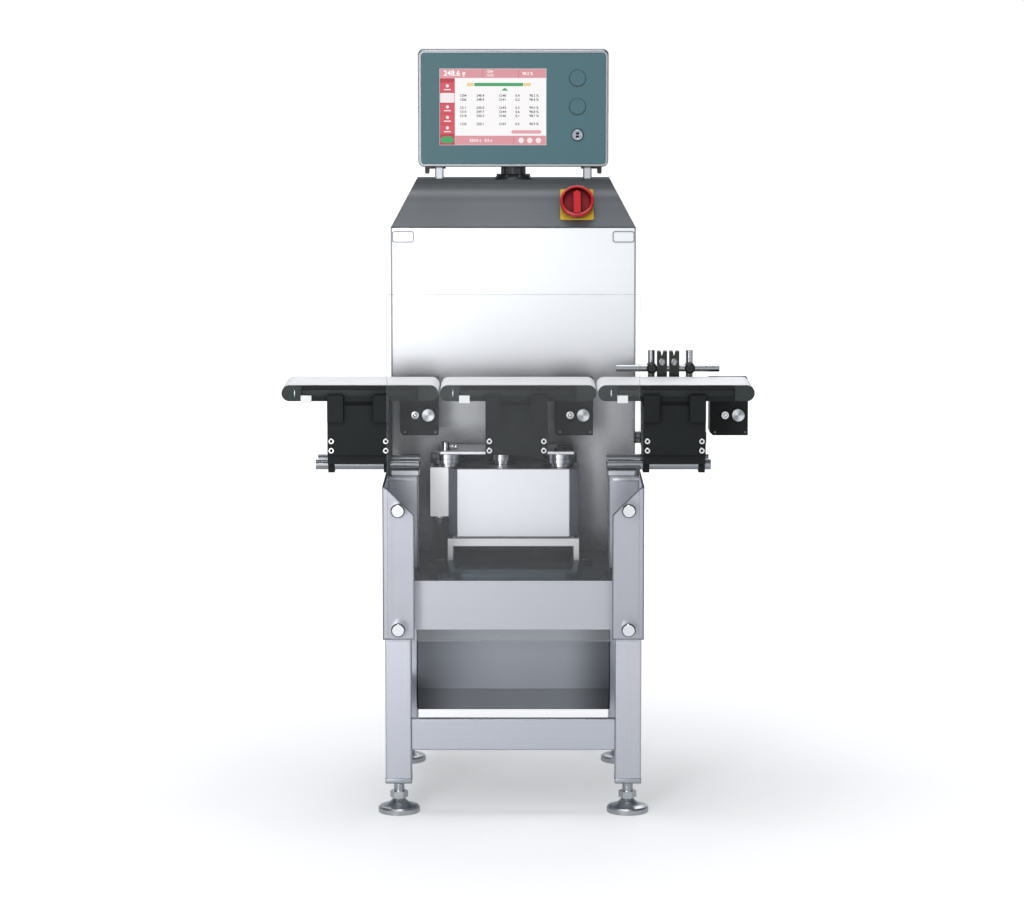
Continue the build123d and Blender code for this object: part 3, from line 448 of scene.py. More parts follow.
# Each post carries a saddle, with a welded collar round its head. The infeed and outfeed conveyors hang on round
# drawn bars that are clamped in the saddles. Drawing leaves the bars smooth, so each shows one long bright streak.
drawn_bar = brushed_steel("drawn_stainless_bar", "#adb0b4", 0.2, "X", 0.015)
dress(drawn_bar, "support_bars", "rollers")
collar_inner, collar_outer, collar_low, collar_high = 194.6, 245.3, 619, 625
post_front, post_back = leg_front + 184.7, leg_front + 275.3
bm = bmesh.new()
for side in (-1, 1):
    ends = sorted((middle_x + side * collar_inner, middle_x + side * collar_outer))
    block(bm, ends, (post_front, post_back), (collar_low, collar_high), 0.2)
# The collars and the door hinges carry painted shade in their nooks.
collar_steel = brushed_steel("welded_collar_steel", "#dadce3", 0.34, "X", 0.04, [(0.8, 0.08)])
piece("post_collars", bm, collar_steel)

# Each of the three conveyors is bolted up from two charcoal anodised side plates, a carrier under them and a drive
# behind. The anodised skin is matt, with a soft satin sheen, and painted shade darkens it in nooks. The real grain
# is 0.3 mm; it is drawn 2.5 mm.
stations = (-307.2, 0.0, 307.2)
line_height = 811.6
nose_radius = 15.4
nose_height = line_height - 15.7
conveyor_front, conveyor_back = -126.0, 27.0


def anodised(name, dark, light, roughness, grit=0.0025, contrast=0.5, shade_depth=1.6, reach=0.02):
    """Anodised aluminium: a matt oxide skin with a fine even grain of a size in metres, and painted shade in nooks."""
    skin, shader, where = start_finish(name, 0.8)
    grain = node(skin, "ShaderNodeTexNoise", {"Vector": where, "Scale": 1 / grit, "Detail": 2.0})
    cloud = node(skin, "ShaderNodeTexNoise", {"Vector": where, "Scale": 1 / 0.09, "Detail": 1.0})
    both = node(skin, "ShaderNodeMath", {0: grain.outputs["Fac"], 1: cloud.outputs["Fac"]}, operation="MULTIPLY")
    shade = node(skin, "ShaderNodeValToRGB", {"Fac": both.outputs[0]})
    tint(shade, linear(dark), linear(light))
    shade.color_ramp.elements[1].position = contrast
    spread = {"Value": grain.outputs["Fac"], "To Min": roughness - 0.06, "To Max": roughness + 0.06}
    matt = node(skin, "ShaderNodeMapRange", spread)
    rub = node(skin, "ShaderNodeBump", {"Height": grain.outputs["Fac"], "Strength": 0.08, "Distance": 0.0002})
    colour = paint_shade(skin, shade.outputs[0], shade_depth, reach)
    fill(skin, shader, {"Base Color": colour, "Roughness": matt.outputs[0], "Normal": rub.outputs[0]})
    return skin


charcoal = anodised("charcoal_anodised_aluminium", "#1e2121", "#272a2a", 0.5)
for conveyor in ("infeed", "weigh", "outfeed"):
    dress(charcoal, f"{conveyor}_frame", f"{conveyor}_carrier", f"{conveyor}_drive")

# A cast end cap closes each end of a side plate. It stands a little proud and has a coarse blasted skin that
# glitters in small specks. The real specks are 0.3 mm; they are drawn 1.2 mm.
cap_skin = anodised("blasted_black_end_cap", "#1c1f1f", "#4c5252", 0.42, 0.0012, 0.62)
plate_end, cap_straight, cap_sunk, cap_proud = 151.9, 23.6, -0.2, 0.7
cap_outline = [(0.0, -nose_radius), (0.0, nose_radius)]
for i in range(25):
    angle = math.pi * i / 24
    cap_outline.append((-cap_straight - nose_radius * math.sin(angle), nose_radius * math.cos(angle)))


def sheet(bm, outline, low, high, place, edge=0.0):
    """Adds a flat form with an outline, from one height to another above its place, its outer rim eased by an edge."""
    middle = Vector((sum(p[0] for p in outline), sum(p[1] for p in outline))) / len(outline)
    rows = []
    for height, ease in ((low, 0.0), (high - edge, 0.0), (high, edge)) if edge else ((low, 0.0), (high, 0.0)):
        row = []
        for point in outline:
            arm = Vector(point) - middle
            arm *= 1 - ease / max(arm.length, 1e-6)
            row.append(bm.verts.new(place @ Vector((middle.x + arm.x, middle.y + arm.y, height))))
        rows.append(row)
    for below, above in zip(rows, rows[1:]):
        for i in range(len(outline)):
            j = (i + 1) % len(outline)
            bm.faces.new((below[i], below[j], above[j], above[i]))
    bm.faces.new(rows[0][::-1])
    bm.faces.new(rows[-1])


bm = bmesh.new()
for station in stations:
    for end in (-1, 1):
        root = station + end * (plate_end - cap_straight - nose_radius)
        front, back = [[(way * end * x, z) for x, z in cap_outline] for way in (-1, 1)]
        sheet(bm, front, cap_sunk, cap_proud, facing_front(root, conveyor_front, nose_height), 0.3)
        sheet(bm, back, cap_sunk, cap_proud, facing_back(root, conveyor_back, nose_height), 0.3)
piece("conveyor_end_caps", bm, cap_skin)

# A flat strip of the same aluminium is pressed into the groove along each side plate, a shade paler than the plate.
# Under the plate, between the carrier's blocks, a black strip is painted shadow of the narrow gap there.
strip_skin = anodised("charcoal_anodised_strip", "#2a2d2d", "#333737", 0.46)
slot_shadow_black = anodised("painted_slot_shadow", "#0f1111", "#151717", 0.6)
groove = (nose_height - 7.8, nose_height + 6.8)
slot = (nose_height - 23.6, nose_height - 16.2)
strip_half, strip_sunk, strip_deep = 112.0, 0.7, 1.5
slot_left, slot_right, slot_sunk, slot_proud = 29.5, 23.5, 0.2, 0.4
bm, slots = bmesh.new(), bmesh.new()
for station in stations:
    across = (station - strip_half, station + strip_half)
    block(bm, across, (conveyor_front + strip_sunk, conveyor_front + strip_deep), groove, 0.2)
    block(bm, across, (conveyor_back - strip_deep, conveyor_back - strip_sunk), groove, 0.2)
    across = (station - slot_left, station + slot_right)
    block(slots, across, (conveyor_front - slot_proud, conveyor_front + slot_sunk), slot, 0.15)
piece("groove_strips", bm, strip_skin)
piece("carrier_slot_shadows", slots, slot_shadow_black)

# The belt's tension spindle is a turned steel pin in an upright slot near each conveyor's left end. Only its bright
# lens shows.
bright, shader, where = start_finish("bright_turned_steel", 1.0)
lap = node(bright, "ShaderNodeTexNoise", {"Vector": where, "Scale": 1 / 0.004, "Detail": 2.0})
gloss = node(bright, "ShaderNodeMapRange", {"Value": lap.outputs["Fac"], "To Min": 0.1, "To Max": 0.18})
fill(bright, shader, {"Base Color": linear("#dfe1e6"), "Roughness": gloss.outputs[0]})
lens = [(0, -8), (0.7, -6.5), (1.2, -4), (1.6, 0), (1.2, 4), (0.7, 6.5), (0, 8)]
spindle_inset = 126.5
bm = bmesh.new()
for station in stations:
    for y in (conveyor_front - 0.6, conveyor_back + 0.6):
        turned(bm, lens, (station - spindle_inset, y, nose_height), sides=16)
piece("tension_spindles", bm, bright)

# A small plain plate, enamelled white, is glued to each side plate. It is given a faint glow, which is painted
# light.
tab_white, shader, where = start_finish("white_enamelled_tab")
peel = node(tab_white, "ShaderNodeTexNoise", {"Vector": where, "Scale": 1 / 0.003, "Detail": 1.0})
shade = node(tab_white, "ShaderNodeValToRGB", {"Fac": peel.outputs["Fac"]})
tint(shade, linear("#f2f2f4"), linear("#fcfcfc"))
fill(tab_white, shader, {"Base Color": shade.outputs[0], "Roughness": 0.35})
fill(tab_white, shader, {"Emission Color": shade.outputs[0], "Emission Strength": 0.16})
tab_width, tab_height, tab_sheet = 20.5, 15.0, 0.9
tab_inset, tab_drop = 104.3, 11.7
bm = bmesh.new()
for station in stations:
    place = facing_front(station - tab_inset, conveyor_front, nose_height - tab_drop)
    sheet(bm, rounded(tab_width, tab_height, 1.0, 3), 0.0, tab_sheet, place, 0.2)
piece("blank_tabs", bm, tab_white)

# Button-head socket screws of bright steel hold each carrier's front plate, two at either side. A black disc in each
# socket is painted shade of its hollow, so each screw shows as a bright ring.
hole_shade_black = anodised("painted_hole_shade", "#0c0d0d", "#151616", 0.6)
button_head = [(0, 0.9), (2.6, 0.9), (2.6, 2.7), (2.8, 2.9), (5.1, 2.9), (5.6, 2.4), (5.6, 0)]
socket = [(0, 1.0), (2.5, 1.0), (2.5, 2.2), (0, 2.2)]
carrier_left, screw_aside, screw_heights = 3.0, 52.9, (702.2, 683.9)
bm, holes = bmesh.new(), bmesh.new()
for station in stations:
    for side in (-1, 1):
        for height in screw_heights:
            spot = (station - carrier_left + side * screw_aside, conveyor_front, height)
            turned(bm, button_head, spot, axis=to_front, sides=32)
            turned(holes, socket, spot, axis=to_front, sides=24)
piece("carrier_screws", bm, polished)
piece("carrier_screw_sockets", holes, hole_shade_black)

# Each drive has a pair of turned steel plugs on its front: a domed one, and a wide one that was faced flat, with two
# bright wedges of reflection painted round its face. Small zinc plated screws, dull and grey, hold its cover.
faced, shader, where = start_finish("faced_steel_plug", 1.0)
marks = node(faced, "ShaderNodeTexNoise", {"Vector": where, "Scale": 1 / 0.004, "Detail": 3.0})
lay = node(faced, "ShaderNodeUVMap", uv_map="turning_marks")
lay_parts = node(faced, "ShaderNodeSeparateXYZ", {"Vector": lay.outputs["UV"]})
two_turns = node(faced, "ShaderNodeMath", {0: lay_parts.outputs["X"], 1: 4 * math.pi}, operation="MULTIPLY")
wave = node(faced, "ShaderNodeMath", {0: two_turns.outputs[0]}, operation="SINE")
ragged = node(faced, "ShaderNodeMath", {0: wave.outputs[0], 1: marks.outputs["Fac"]}, operation="ADD")
painted_sheen = node(faced, "ShaderNodeMapRange", {"Value": ragged.outputs[0], "From Min": -0.6, "From Max": 1.4})
shade = node(faced, "ShaderNodeValToRGB", {"Fac": painted_sheen.outputs["Result"]})
tint(shade, linear("#eceef1"), linear("#989ca0"))
gloss = node(faced, "ShaderNodeMapRange", {"Value": marks.outputs["Fac"], "To Min": 0.26, "To Max": 0.36})
fill(faced, shader, {"Base Color": shade.outputs[0], "Roughness": gloss.outputs[0]})
bolt_steel = brushed_steel("dull_zinc_plated_bolt", "#6f7578", 0.3, "Z", 0.1)
drive_front, drive_bottom, drive_end = leg_front + 293, 696.0, 152.2
plug_height, domed_inset, flat_inset = drive_bottom + 40.4, 49.0, 23.0
domed_plug = [(0, 0), (8, 0), (8, 2.8), (7.2, 3.6), (4.6, 4.0), (3.4, 3.4), (2.2, 4.0), (0, 4.0)]
flat_plug = [(0, 0), (12.8, 0), (12.8, 3.2), (12.0, 4.0), (3, 4.0), (2.4, 3.6), (0, 3.6)]
cover_screw = [(0, 0.3), (1.2, 0.3), (1.2, 1.1), (2.0, 1.1), (2.6, 0.5), (2.6, 0)]
cover_screw_insets, cover_screw_rise = (69.0, 9.0), 6.5
bm, screws = bmesh.new(), bmesh.new()
centres = []
for station in stations:
    end = station + drive_end
    for inset, plug in ((domed_inset, domed_plug), (flat_inset, flat_plug)):
        turned(bm, plug, (end - inset, drive_front, plug_height), axis=to_front)
        centres.append((end - inset, plug_height))
    for inset in cover_screw_insets:
        spot = (end - inset, drive_front, drive_bottom + cover_screw_rise)
        turned(screws, cover_screw, spot, axis=to_front, sides=20)


def lay_turning_angle(made, centres, up):
    """Lays a UV map, for painted sheen, round the nearest of some axes in millimetres: how far round, and how far out.
    """
    turning = made.data.uv_layers.new(name="turning_marks")
    for face in made.data.polygons:
        spot = (face.center.x * 1000, face.center[up] * 1000)
        middle = min(centres, key=lambda c: math.dist(c, spot))
        arms = []
        for loop in face.loop_indices:
            corner = made.data.vertices[made.data.loops[loop].vertex_index].co * 1000
            arms.append(complex(corner.x - middle[0], corner[up] - middle[1]))
        lean = sum(arms) / max(abs(sum(arms)), 1e-9)
        for loop, arm in zip(face.loop_indices, arms):
            angle = cmath.phase(arm / lean) if abs(arm) > 1e-3 and abs(lean) > 0.5 else 0.0
            turning.data[loop].uv = ((angle + cmath.phase(lean or 1)) / (2 * math.pi), abs(arm) / 10)


plugs = piece("drive_plug_faces", bm, faced)
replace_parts(plugs, "drive_plugs")
lay_turning_angle(plugs, centres, 2)
plugs.data.materials.append(polished)
for face in plugs.data.polygons:
    nearest = min(centres, key=lambda c: math.dist(c, (face.center.x * 1000, face.center.z * 1000)))
    face.material_index = 1 - centres.index(nearest) % 2
piece("drive_cover_screws", screws, bolt_steel)

# The belts are white polyurethane on woven polyester, joined to loops: matt, with a faint weave and soft clouds of
# wear. The real weave is 0.5 mm; it is drawn 2 mm.
white_belt, shader, where = start_finish("white_polyurethane_belt")
weave = node(white_belt, "ShaderNodeTexVoronoi", {"Vector": where, "Scale": 1 / 0.002})
soil = node(white_belt, "ShaderNodeTexNoise", {"Vector": where, "Scale": 1 / 0.06, "Detail": 3.0})
shade = node(white_belt, "ShaderNodeValToRGB", {"Fac": soil.outputs["Fac"]})
tint(shade, linear("#f0f0f4"), linear("#fafafc"))
woven = {"Height": weave.outputs["Distance"], "Strength": 0.15, "Distance": 0.0003}
rub = node(white_belt, "ShaderNodeBump", woven)
fill(white_belt, shader, {"Base Color": shade.outputs[0], "Roughness": 0.5, "Normal": rub.outputs[0]})
dress(white_belt, "infeed_belt", "weigh_belt", "outfeed_belt")

# The weigh cell, its stand and its platform are finely blasted stainless steel, paler than the frame. The cell is
# screwed down on a bent bridge, and its narrow side box is screwed to it. Painted shade darkens the cell, platform
# and stand in nooks, and the cell and platform along their edges.
cell_steel = brushed_steel("blasted_stainless_weigh_cell", "#f0f1f6", 0.32, "X", 0.02, [(0.8, 0.012)], 0.0025)
dress(cell_steel, "weigh_cell", "weigh_platform")
dress(brushed_steel("blasted_stainless_side_box", "#fbfbfd", 0.36, "X", 0.02), "weigh_side_box")
dress(brushed_steel("blasted_stainless_stand", "#fafafd", 0.46, "X", 0.02, [(0.6, 0.01)]), "weigh_stand")
cell_top = 632.0

# Three turned steel feet stand between the cell and its platform, each stepped in at the bottom. Bright and dark
# wedges of reflection are painted round them.
turned_steel, shader, where = start_finish("fine_turned_stainless", 1.0)
lay = node(turned_steel, "ShaderNodeUVMap", uv_map="turning_marks")
lay_parts = node(turned_steel, "ShaderNodeSeparateXYZ", {"Vector": lay.outputs["UV"]})
round_thrice = {0: lay_parts.outputs["X"], 1: 3.0, 2: 1.25}
thirds = node(turned_steel, "ShaderNodeMath", round_thrice, operation="MULTIPLY_ADD")
painted_sheen = node(turned_steel, "ShaderNodeMath", {0: thirds.outputs[0]}, operation="FRACT")
shade = node(turned_steel, "ShaderNodeValToRGB", {"Fac": painted_sheen.outputs[0]})
painted_wedges = {0.16: "#6a6e72", 0.22: "#fdfdff", 0.29: "#54585c", 0.38: "#606468", 0.46: "#ffffff", 0.53: "#e2e3ea"}
painted_wedges |= {0.63: "#75797e", 0.76: "#b4b7bb", 0.88: "#5c6064"}
tint(shade, linear("#3f4346"), linear("#3f4346"), painted_wedges)
gloss = node(turned_steel, "ShaderNodeMapRange", {"Value": painted_sheen.outputs[0], "To Min": 0.2, "To Max": 0.26})
fill(turned_steel, shader, {"Base Color": shade.outputs[0], "Roughness": gloss.outputs[0]})
bm = bmesh.new()
centres = []
for x, back_gap, radius in ((-131, 42, 34), (-24, 15, 26), (93, 42, 34)):
    neck = radius * 0.82
    rings = [(0, 0), (neck - 0.6, 0), (neck, 0.6), (neck, 7.2), (neck + 0.8, 8), (radius - 0.8, 8), (radius, 8.8)]
    rings += [(radius, 16.4), (radius - 0.7, 17), (radius, 17.6), (radius, 26.8), (radius - 0.8, 27.6), (0, 27.6)]
    centre = (middle_x + x, cabinet_front - back_gap - radius)
    turned(bm, rings, (*centre, cell_top), sides=96)
    centres.append(centre)
feet = piece("weigh_foot_turnings", bm, turned_steel)
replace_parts(feet, "weigh_feet")
lay_turning_angle(feet, centres, 1)

# A turned locating pin with a polished cross knob is pressed into the platform's left. A stop block of black
# anodised aluminium is screwed on at its right, with a plate under it.
platform_top = 666.6
pin_x, pin_y = middle_x - 135, leg_front + 300
bm = bmesh.new()
pin_rings = [(0, 0), (10, 0), (10, 1.6), (8.2, 2.2), (8.2, 14.6), (7.2, 16), (0, 16)]
turned(bm, pin_rings, (pin_x, pin_y, platform_top), sides=64)
knob_rings = [(0, 7), (1.8, 7), (1.8, 12.6), (4.0, 12.8), (4.0, 14.8), (1.8, 15.0), (1.8, 16.0), (3.0, 16.8)]
knob_rings += [(4.2, 18.6), (4.5, 21), (4.2, 23.4), (3.0, 25.2), (0, 26)]
turned(bm, knob_rings, (pin_x, pin_y, platform_top + 5.6), axis=(1, 0, 0), sides=32)
# The pin has the same painted bright and dark wedges of reflection as the feet.
pin = piece("platform_pin", bm, turned_steel)
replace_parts(pin, "platform_fittings")
lay_turning_angle(pin, [(pin_x, pin_y)], 1)
pin.data.materials.append(polished)
for face in pin.data.polygons:
    face.material_index = int(face.center.x * 1000 > pin_x + 10.2)
bracket_black = anodised("black_anodised_bracket", "#17191a", "#222526", 0.5)
dress(bracket_black, "platform_stop", "sensor_bracket")
stop_x, stop_front, stop_back, stop_sheet = middle_x + 101.7, leg_front + 272.6, leg_front + 301.5, 4.0
bm = bmesh.new()
block(bm, (stop_x - 20, stop_x + 17), (stop_front, stop_back), (platform_top, platform_top + stop_sheet), 0.8)
piece("stop_plate", bm, bracket_black)

# The gland under the side box is turned from steel, with a hexagon at its root by which it is screwed in. It has
# the same painted bright and dark wedges of reflection as the feet.
gland_x, gland_y, gland_z = middle_x - 147, leg_front + 310, cell_top - 98
bm = bmesh.new()
gland_rings = [(0, 0.2), (11.2, 0.2, "hex"), (11.2, -4.4, "hex"), (9.9, -5.0), (0, -5.0)]
turned(bm, gland_rings, (gland_x, gland_y, gland_z), sides=48)
lay_turning_angle(piece("gland_nut", bm, turned_steel), [(gland_x, gland_y)], 1)

# The cabinet is folded from pale satin stainless sheet and brushed across. Painted shade darkens its front behind
# the belts, its corners where parts stand close, and its edges. Two plain outlines are pressed into its front below
# the hood, and show as grey lines.
shade_behind_belts, shaded_corners = (0.52, 0.2), (1.7, 0.055)
cabinet_shade_nooks = [shade_behind_belts, shaded_corners]
cabinet_steel = brushed_steel("satin_stainless_cabinet", "#eff1f5", 0.36, "X", 0.02, cabinet_shade_nooks, 0.0019)
dress(cabinet_steel, "cabinet", "rear_door")
cabinet_depth = 200.0
cabinet_back = cabinet_front + cabinet_depth
outline_aside, outline_height = 220.6, 1083.5
outer, inner = rounded(43.8, 23.0, 5.4), rounded(40.0, 19.2, 3.5)
line_grey = anodised("grey_pressed_outline", "#8e9196", "#9ea1a6", 0.5)
bm = bmesh.new()
for side in (-1, 1):
    place = facing_front(middle_x + side * outline_aside, cabinet_front, outline_height)
    band(bm, outer, inner, 0.0, 0.35, place)
piece("cabinet_outlines", bm, line_grey)

# Where its front sheet meets the sides, the cabinet is welded. Each weld is ground to a narrow seam that runs down
# the corner and shows as a grey line.
seam_inner, seam_outer, seam_top = 242.2, 245.3, 1101.0
bm = bmesh.new()
for side in (-1, 1):
    across = sorted((middle_x + side * seam_inner, middle_x + side * seam_outer))
    block(bm, across, (cabinet_front - 0.3, cabinet_front + 2.8), (shoulder + 1.0, seam_top), 0.25)
piece("cabinet_weld_seams", bm, line_grey)

# The door at the back is a flat stainless sheet. It closes with two quarter-turn locks, polished bright, and hangs on
# three satin hinges, whose leaves are screwed on.
door_face = cabinet_back + 3
lock_aside, lock_heights = 205, (620, 930)
lock_rings = [(0, 0.6), (2.5, 0.6), (3.2, 1.6), (9.4, 1.6), (10.6, 0.8), (10.6, 0)]
bm = bmesh.new()
for height in lock_heights:
    turned(bm, lock_rings, (middle_x + lock_aside, door_face, height), axis=to_back)
piece("door_locks", bm, polished)
hinge_x, hinge_heights = middle_x - 239.0, (520, 774, 1030)
leaf_near, leaf_far, leaf_half, leaf_screw = 1.5, 19.0, 22.0, 12.5
half_barrel = [(0, -24), (2.4, -24), (2.9, -23.5), (2.9, -8.3), (2.4, -8), (2.9, -7.7)]
barrel = half_barrel + [(radius, -height) for radius, height in reversed(half_barrel)]
hinge_screw = [(0, 0.5), (1.4, 0.5), (1.4, 0.9), (2.9, 0.9), (3.4, 0.4), (3.4, 0)]
leaf_low, leaf_high = cabinet_back + 2.8, cabinet_back + 3.9
bm = bmesh.new()
for height in hinge_heights:
    turned(bm, barrel, (hinge_x, cabinet_back + 1.4, height), sides=24)
    across, upright = (hinge_x + leaf_near, hinge_x + leaf_far), (height - leaf_half, height + leaf_half)
    block(bm, across, (leaf_low, leaf_high), upright, 0.3)
    for rise in (-14, 14):
        turned(bm, hinge_screw, (hinge_x + leaf_screw, leaf_high, height + rise), axis=to_back, sides=24)
# The hinges share the collars' finish, with painted shade in nooks.
piece("door_hinges", bm, collar_steel)

# The hood over the cabinet is folded from the same sheet. It slopes up to the light's dark part, so it looks grey,
# and its colour is painted darker than the cabinet's as shade. Painted bands of reflection make it darker under the
# upper fold, with a paler band below that, and painted shade darkens it in nooks and along its edges.
hood_low, hood_top, hood_run = 1102.0, 1195.4, 50.0
hood_steel = brushed_steel("satin_stainless_hood", "#9ea2a6", 0.34, "X", 0.03, [(0.5, 0.06)], 0.0019)
shader = hood_steel.node_tree.nodes["Principled BSDF"]
place = node(hood_steel, "ShaderNodeTexCoord")
where_parts = node(hood_steel, "ShaderNodeSeparateXYZ", {"Vector": place.outputs["Object"]})
rising = {"Value": where_parts.outputs["Z"], "From Min": hood_low / 1000, "From Max": hood_top / 1000}
rise = node(hood_steel, "ShaderNodeMapRange", rising)
painted_bands = node(hood_steel, "ShaderNodeValToRGB", {"Fac": rise.outputs["Result"]})
painted_bands.color_ramp.interpolation = "EASE"
painted_band_stops = {0.47: "#e6e6e6", 0.6: "#dadada", 0.72: "#fbfbfb", 0.84: "#bcbcbc", 0.94: "#a4a4a4"}
tint(painted_bands, linear("#f2f2f2"), linear("#a4a4a4"), painted_band_stops)
band_shaded = {0: 1.0, 6: shader.inputs["Base Color"].links[0].from_socket, 7: painted_bands.outputs["Color"]}
skin = node(hood_steel, "ShaderNodeMix", band_shaded, data_type="RGBA", blend_type="MULTIPLY")
fill(hood_steel, shader, {"Specular Tint": linear("#8a9093"), "Base Color": skin.outputs[2]})
dress(hood_steel, "cabinet_hood")

# The lower housing is a stainless case that hangs between the rear legs, in the shade of the base. Its front is
# painted darker toward both ends as shade, and painted shade darkens it in nooks and along its edges.
lower_steel = brushed_steel("satin_stainless_lower_housing", "#b2b6bd", 0.36, "X", 0.03, [(0.9, 0.12)], 0.0019)
shader = lower_steel.node_tree.nodes["Principled BSDF"]
place = node(lower_steel, "ShaderNodeTexCoord")
where_parts = node(lower_steel, "ShaderNodeSeparateXYZ", {"Vector": place.outputs["Object"]})
from_middle = {0: where_parts.outputs["X"], 1: -middle_x / 1000}
aside = node(lower_steel, "ShaderNodeMath", from_middle, operation="ADD")
outward = node(lower_steel, "ShaderNodeMath", {0: aside.outputs[0]}, operation="ABSOLUTE")
to_the_ends = {"Value": outward.outputs[0], "From Min": 0.1, "From Max": 0.195, "To Min": 1.0, "To Max": 0.36}
end_shade = node(lower_steel, "ShaderNodeMapRange", to_the_ends, interpolation_type="SMOOTHSTEP")
past_the_front = {"Value": where_parts.outputs["Y"], "From Min": 0.13, "From Max": 0.19}
behind = node(lower_steel, "ShaderNodeMapRange", past_the_front)
only_in_front = {0: end_shade.outputs["Result"], 1: behind.outputs["Result"]}
kept = node(lower_steel, "ShaderNodeMath", only_in_front, operation="MAXIMUM")
ended = {0: 1.0, 6: shader.inputs["Base Color"].links[0].from_socket, 7: kept.outputs[0]}
skin = node(lower_steel, "ShaderNodeMix", ended, data_type="RGBA", blend_type="MULTIPLY")
fill(lower_steel, shader, {"Base Color": skin.outputs[2]})
dress(lower_steel, "lower_housing")

# The main switch is screwed to the hood's slope: a yellow moulded plate with a boss, and a red handle with a ribbed
# rim, a sunk bowl and a pointed grip across it. Both are glossy plastic; painted shade makes the red deep and dark
# in its bowl.
slope = math.hypot(hood_run, hood_top - hood_low)
up_y, up_z = hood_run / slope, (hood_top - hood_low) / slope
switch_x, switch_rise = middle_x + 127.4, 50.0
switch_y, switch_z = cabinet_front + switch_rise * up_y, hood_low + switch_rise * up_z
on_slope = Matrix(((1, 0, 0, switch_x), (0, up_y, -up_z, switch_y), (0, up_z, up_y, switch_z), (0, 0, 0, 1)))
out = (0, -up_z, up_y)


def moulded(name, colour, roughness, shade_depth=0.8, reach=0.015):
    """Moulded plastic with a fine even grain and painted shade in nooks. The real grain is 0.2 mm; it is drawn 1.5 mm.
    """
    plastic, shader, where = start_finish(name)
    grain = node(plastic, "ShaderNodeTexNoise", {"Vector": where, "Scale": 1 / 0.0015, "Detail": 2.0})
    shade = node(plastic, "ShaderNodeValToRGB", {"Fac": grain.outputs["Fac"]})
    tint(shade, linear(colour, 0.94), linear(colour, 1.06))
    spread = {"Value": grain.outputs["Fac"], "To Min": roughness - 0.05, "To Max": roughness + 0.05}
    matt = node(plastic, "ShaderNodeMapRange", spread)
    rub = node(plastic, "ShaderNodeBump", {"Height": grain.outputs["Fac"], "Strength": 0.06, "Distance": 0.0002})
    skin = paint_shade(plastic, shade.outputs[0], shade_depth, reach)
    fill(plastic, shader, {"Base Color": skin, "Roughness": matt.outputs[0], "Normal": rub.outputs[0]})
    return plastic


yellow = moulded("yellow_moulded_plate", "#f6c83a", 0.35)
plate_size, plate_corner, plate_thick = 67, 3.5, 3.0
bm = bmesh.new()
sheet(bm, rounded(plate_size, plate_size, plate_corner), 0.0, plate_thick, on_slope, 0.8)
boss = [(0, 2.9), (14, 2.9), (14, 7.4), (13.4, 8.0), (6.4, 8.0), (6.4, 4.0), (0, 4.0)]
turned(bm, boss, on_slope.translation, axis=out)
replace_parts(piece("switch_plate_moulding", bm, yellow), "switch_plate")
red = moulded("red_moulded_handle", "#d4242e", 0.3, 2.1, 0.03)
rim = [(0, 9), (30.5, 9), (33.2, 10.2), (33.6, 11.5), (33.6, 20.5), (32.6, 22.2), (30.6, 23)]
bowl = [(29.2, 22.6), (28, 21.2), (27.2, 13.2), (26, 12), (0, 12)]
axle = [(0, 4.3), (6.0, 4.3), (6.0, 9.2), (0, 9.2)]
rib, ribs, rib_low, rib_high = [(33.3, -0.9), (34.0, -0.4), (34.0, 0.4), (33.3, 0.9)], 36, 11.8, 20.2
grip_low, grip_high = 11.9, 24.6
grip = [(-7.3, -27.6), (-6.9, -28), (6.9, -28), (7.3, -27.6), (7.3, 17), (0.4, 22), (-0.4, 22), (-7.3, 17)]
bm = bmesh.new()
turned(bm, rim + bowl, on_slope.translation, axis=out, sides=96)
turned(bm, axle, on_slope.translation, axis=out)
for i in range(ribs):
    sheet(bm, rib, rib_low, rib_high, on_slope @ Matrix.Rotation(2 * math.pi * i / ribs, 4, "Z"))
sheet(bm, grip, grip_low, grip_high, on_slope, 1.2)
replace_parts(piece("switch_handle_moulding", bm, red, "switch_knob"), "switch_handle")

# The terminal's case is milled from aluminium and bead blasted to an even grey, with painted shade along its edges.
# A printed film in matt teal grey is let into its front and glued down.
terminal_low, terminal_top, terminal_front, terminal_depth = 1220.8, 1454.6, 159.0, 65.0
case_aluminium = brushed_steel("bead_blasted_terminal_aluminium", "#abb0b6", 0.36, "X", 0.02, rim=0.0028)
dress(case_aluminium, "terminal_case")
dress(moulded("teal_printed_film", "#4d767e", 0.42), "terminal_film")
film_front = terminal_front + 0.2

# A black rubber gasket lies between the case and its back cover, a brushed aluminium sheet that eight dull screws
# hold. The gasket stands a little proud of the case all round, so its thin dark line there is also painted
# reflection of the case's dark edges.
terminal_back = terminal_front + terminal_depth
terminal_middle = (terminal_low + terminal_top) / 2
gasket_inset, gasket_thick = 22.0, 3.0
outer, inner = rounded(384.2, 236.4, 11.3), rounded(380.0, 232.2, 9.2)
bm = bmesh.new()
lie = facing_back(middle_x, terminal_back - gasket_inset, terminal_middle)
band(bm, outer, inner, 0.0, gasket_thick, lie)
piece("terminal_gasket", bm, rubber)
cover_aluminium = brushed_steel("brushed_aluminium_cover", "#b4b9bf", 0.38, "X", 0.03)
cover_width, cover_height, cover_corner, cover_sheet = 362.0, 214.0, 8.0, 1.6
screw_columns, screw_rows = (-168, -56, 56, 168), (-94, 94)
cap_head = [(0, 1.0), (1.9, 1.0), (1.9, 3.0), (3.6, 3.0), (4.4, 2.2), (4.4, 0)]
bm, screws = bmesh.new(), bmesh.new()
lie = facing_back(middle_x, terminal_back, terminal_middle)
sheet(bm, rounded(cover_width, cover_height, cover_corner), -0.2, cover_sheet, lie, 0.4)
for x in screw_columns:
    for z in screw_rows:
        spot = (middle_x + x, terminal_back + cover_sheet, terminal_middle + z)
        turned(screws, cap_head, spot, axis=to_back, sides=24)
piece("terminal_back_cover", bm, cover_aluminium)
piece("terminal_back_screws", screws, bolt_steel)
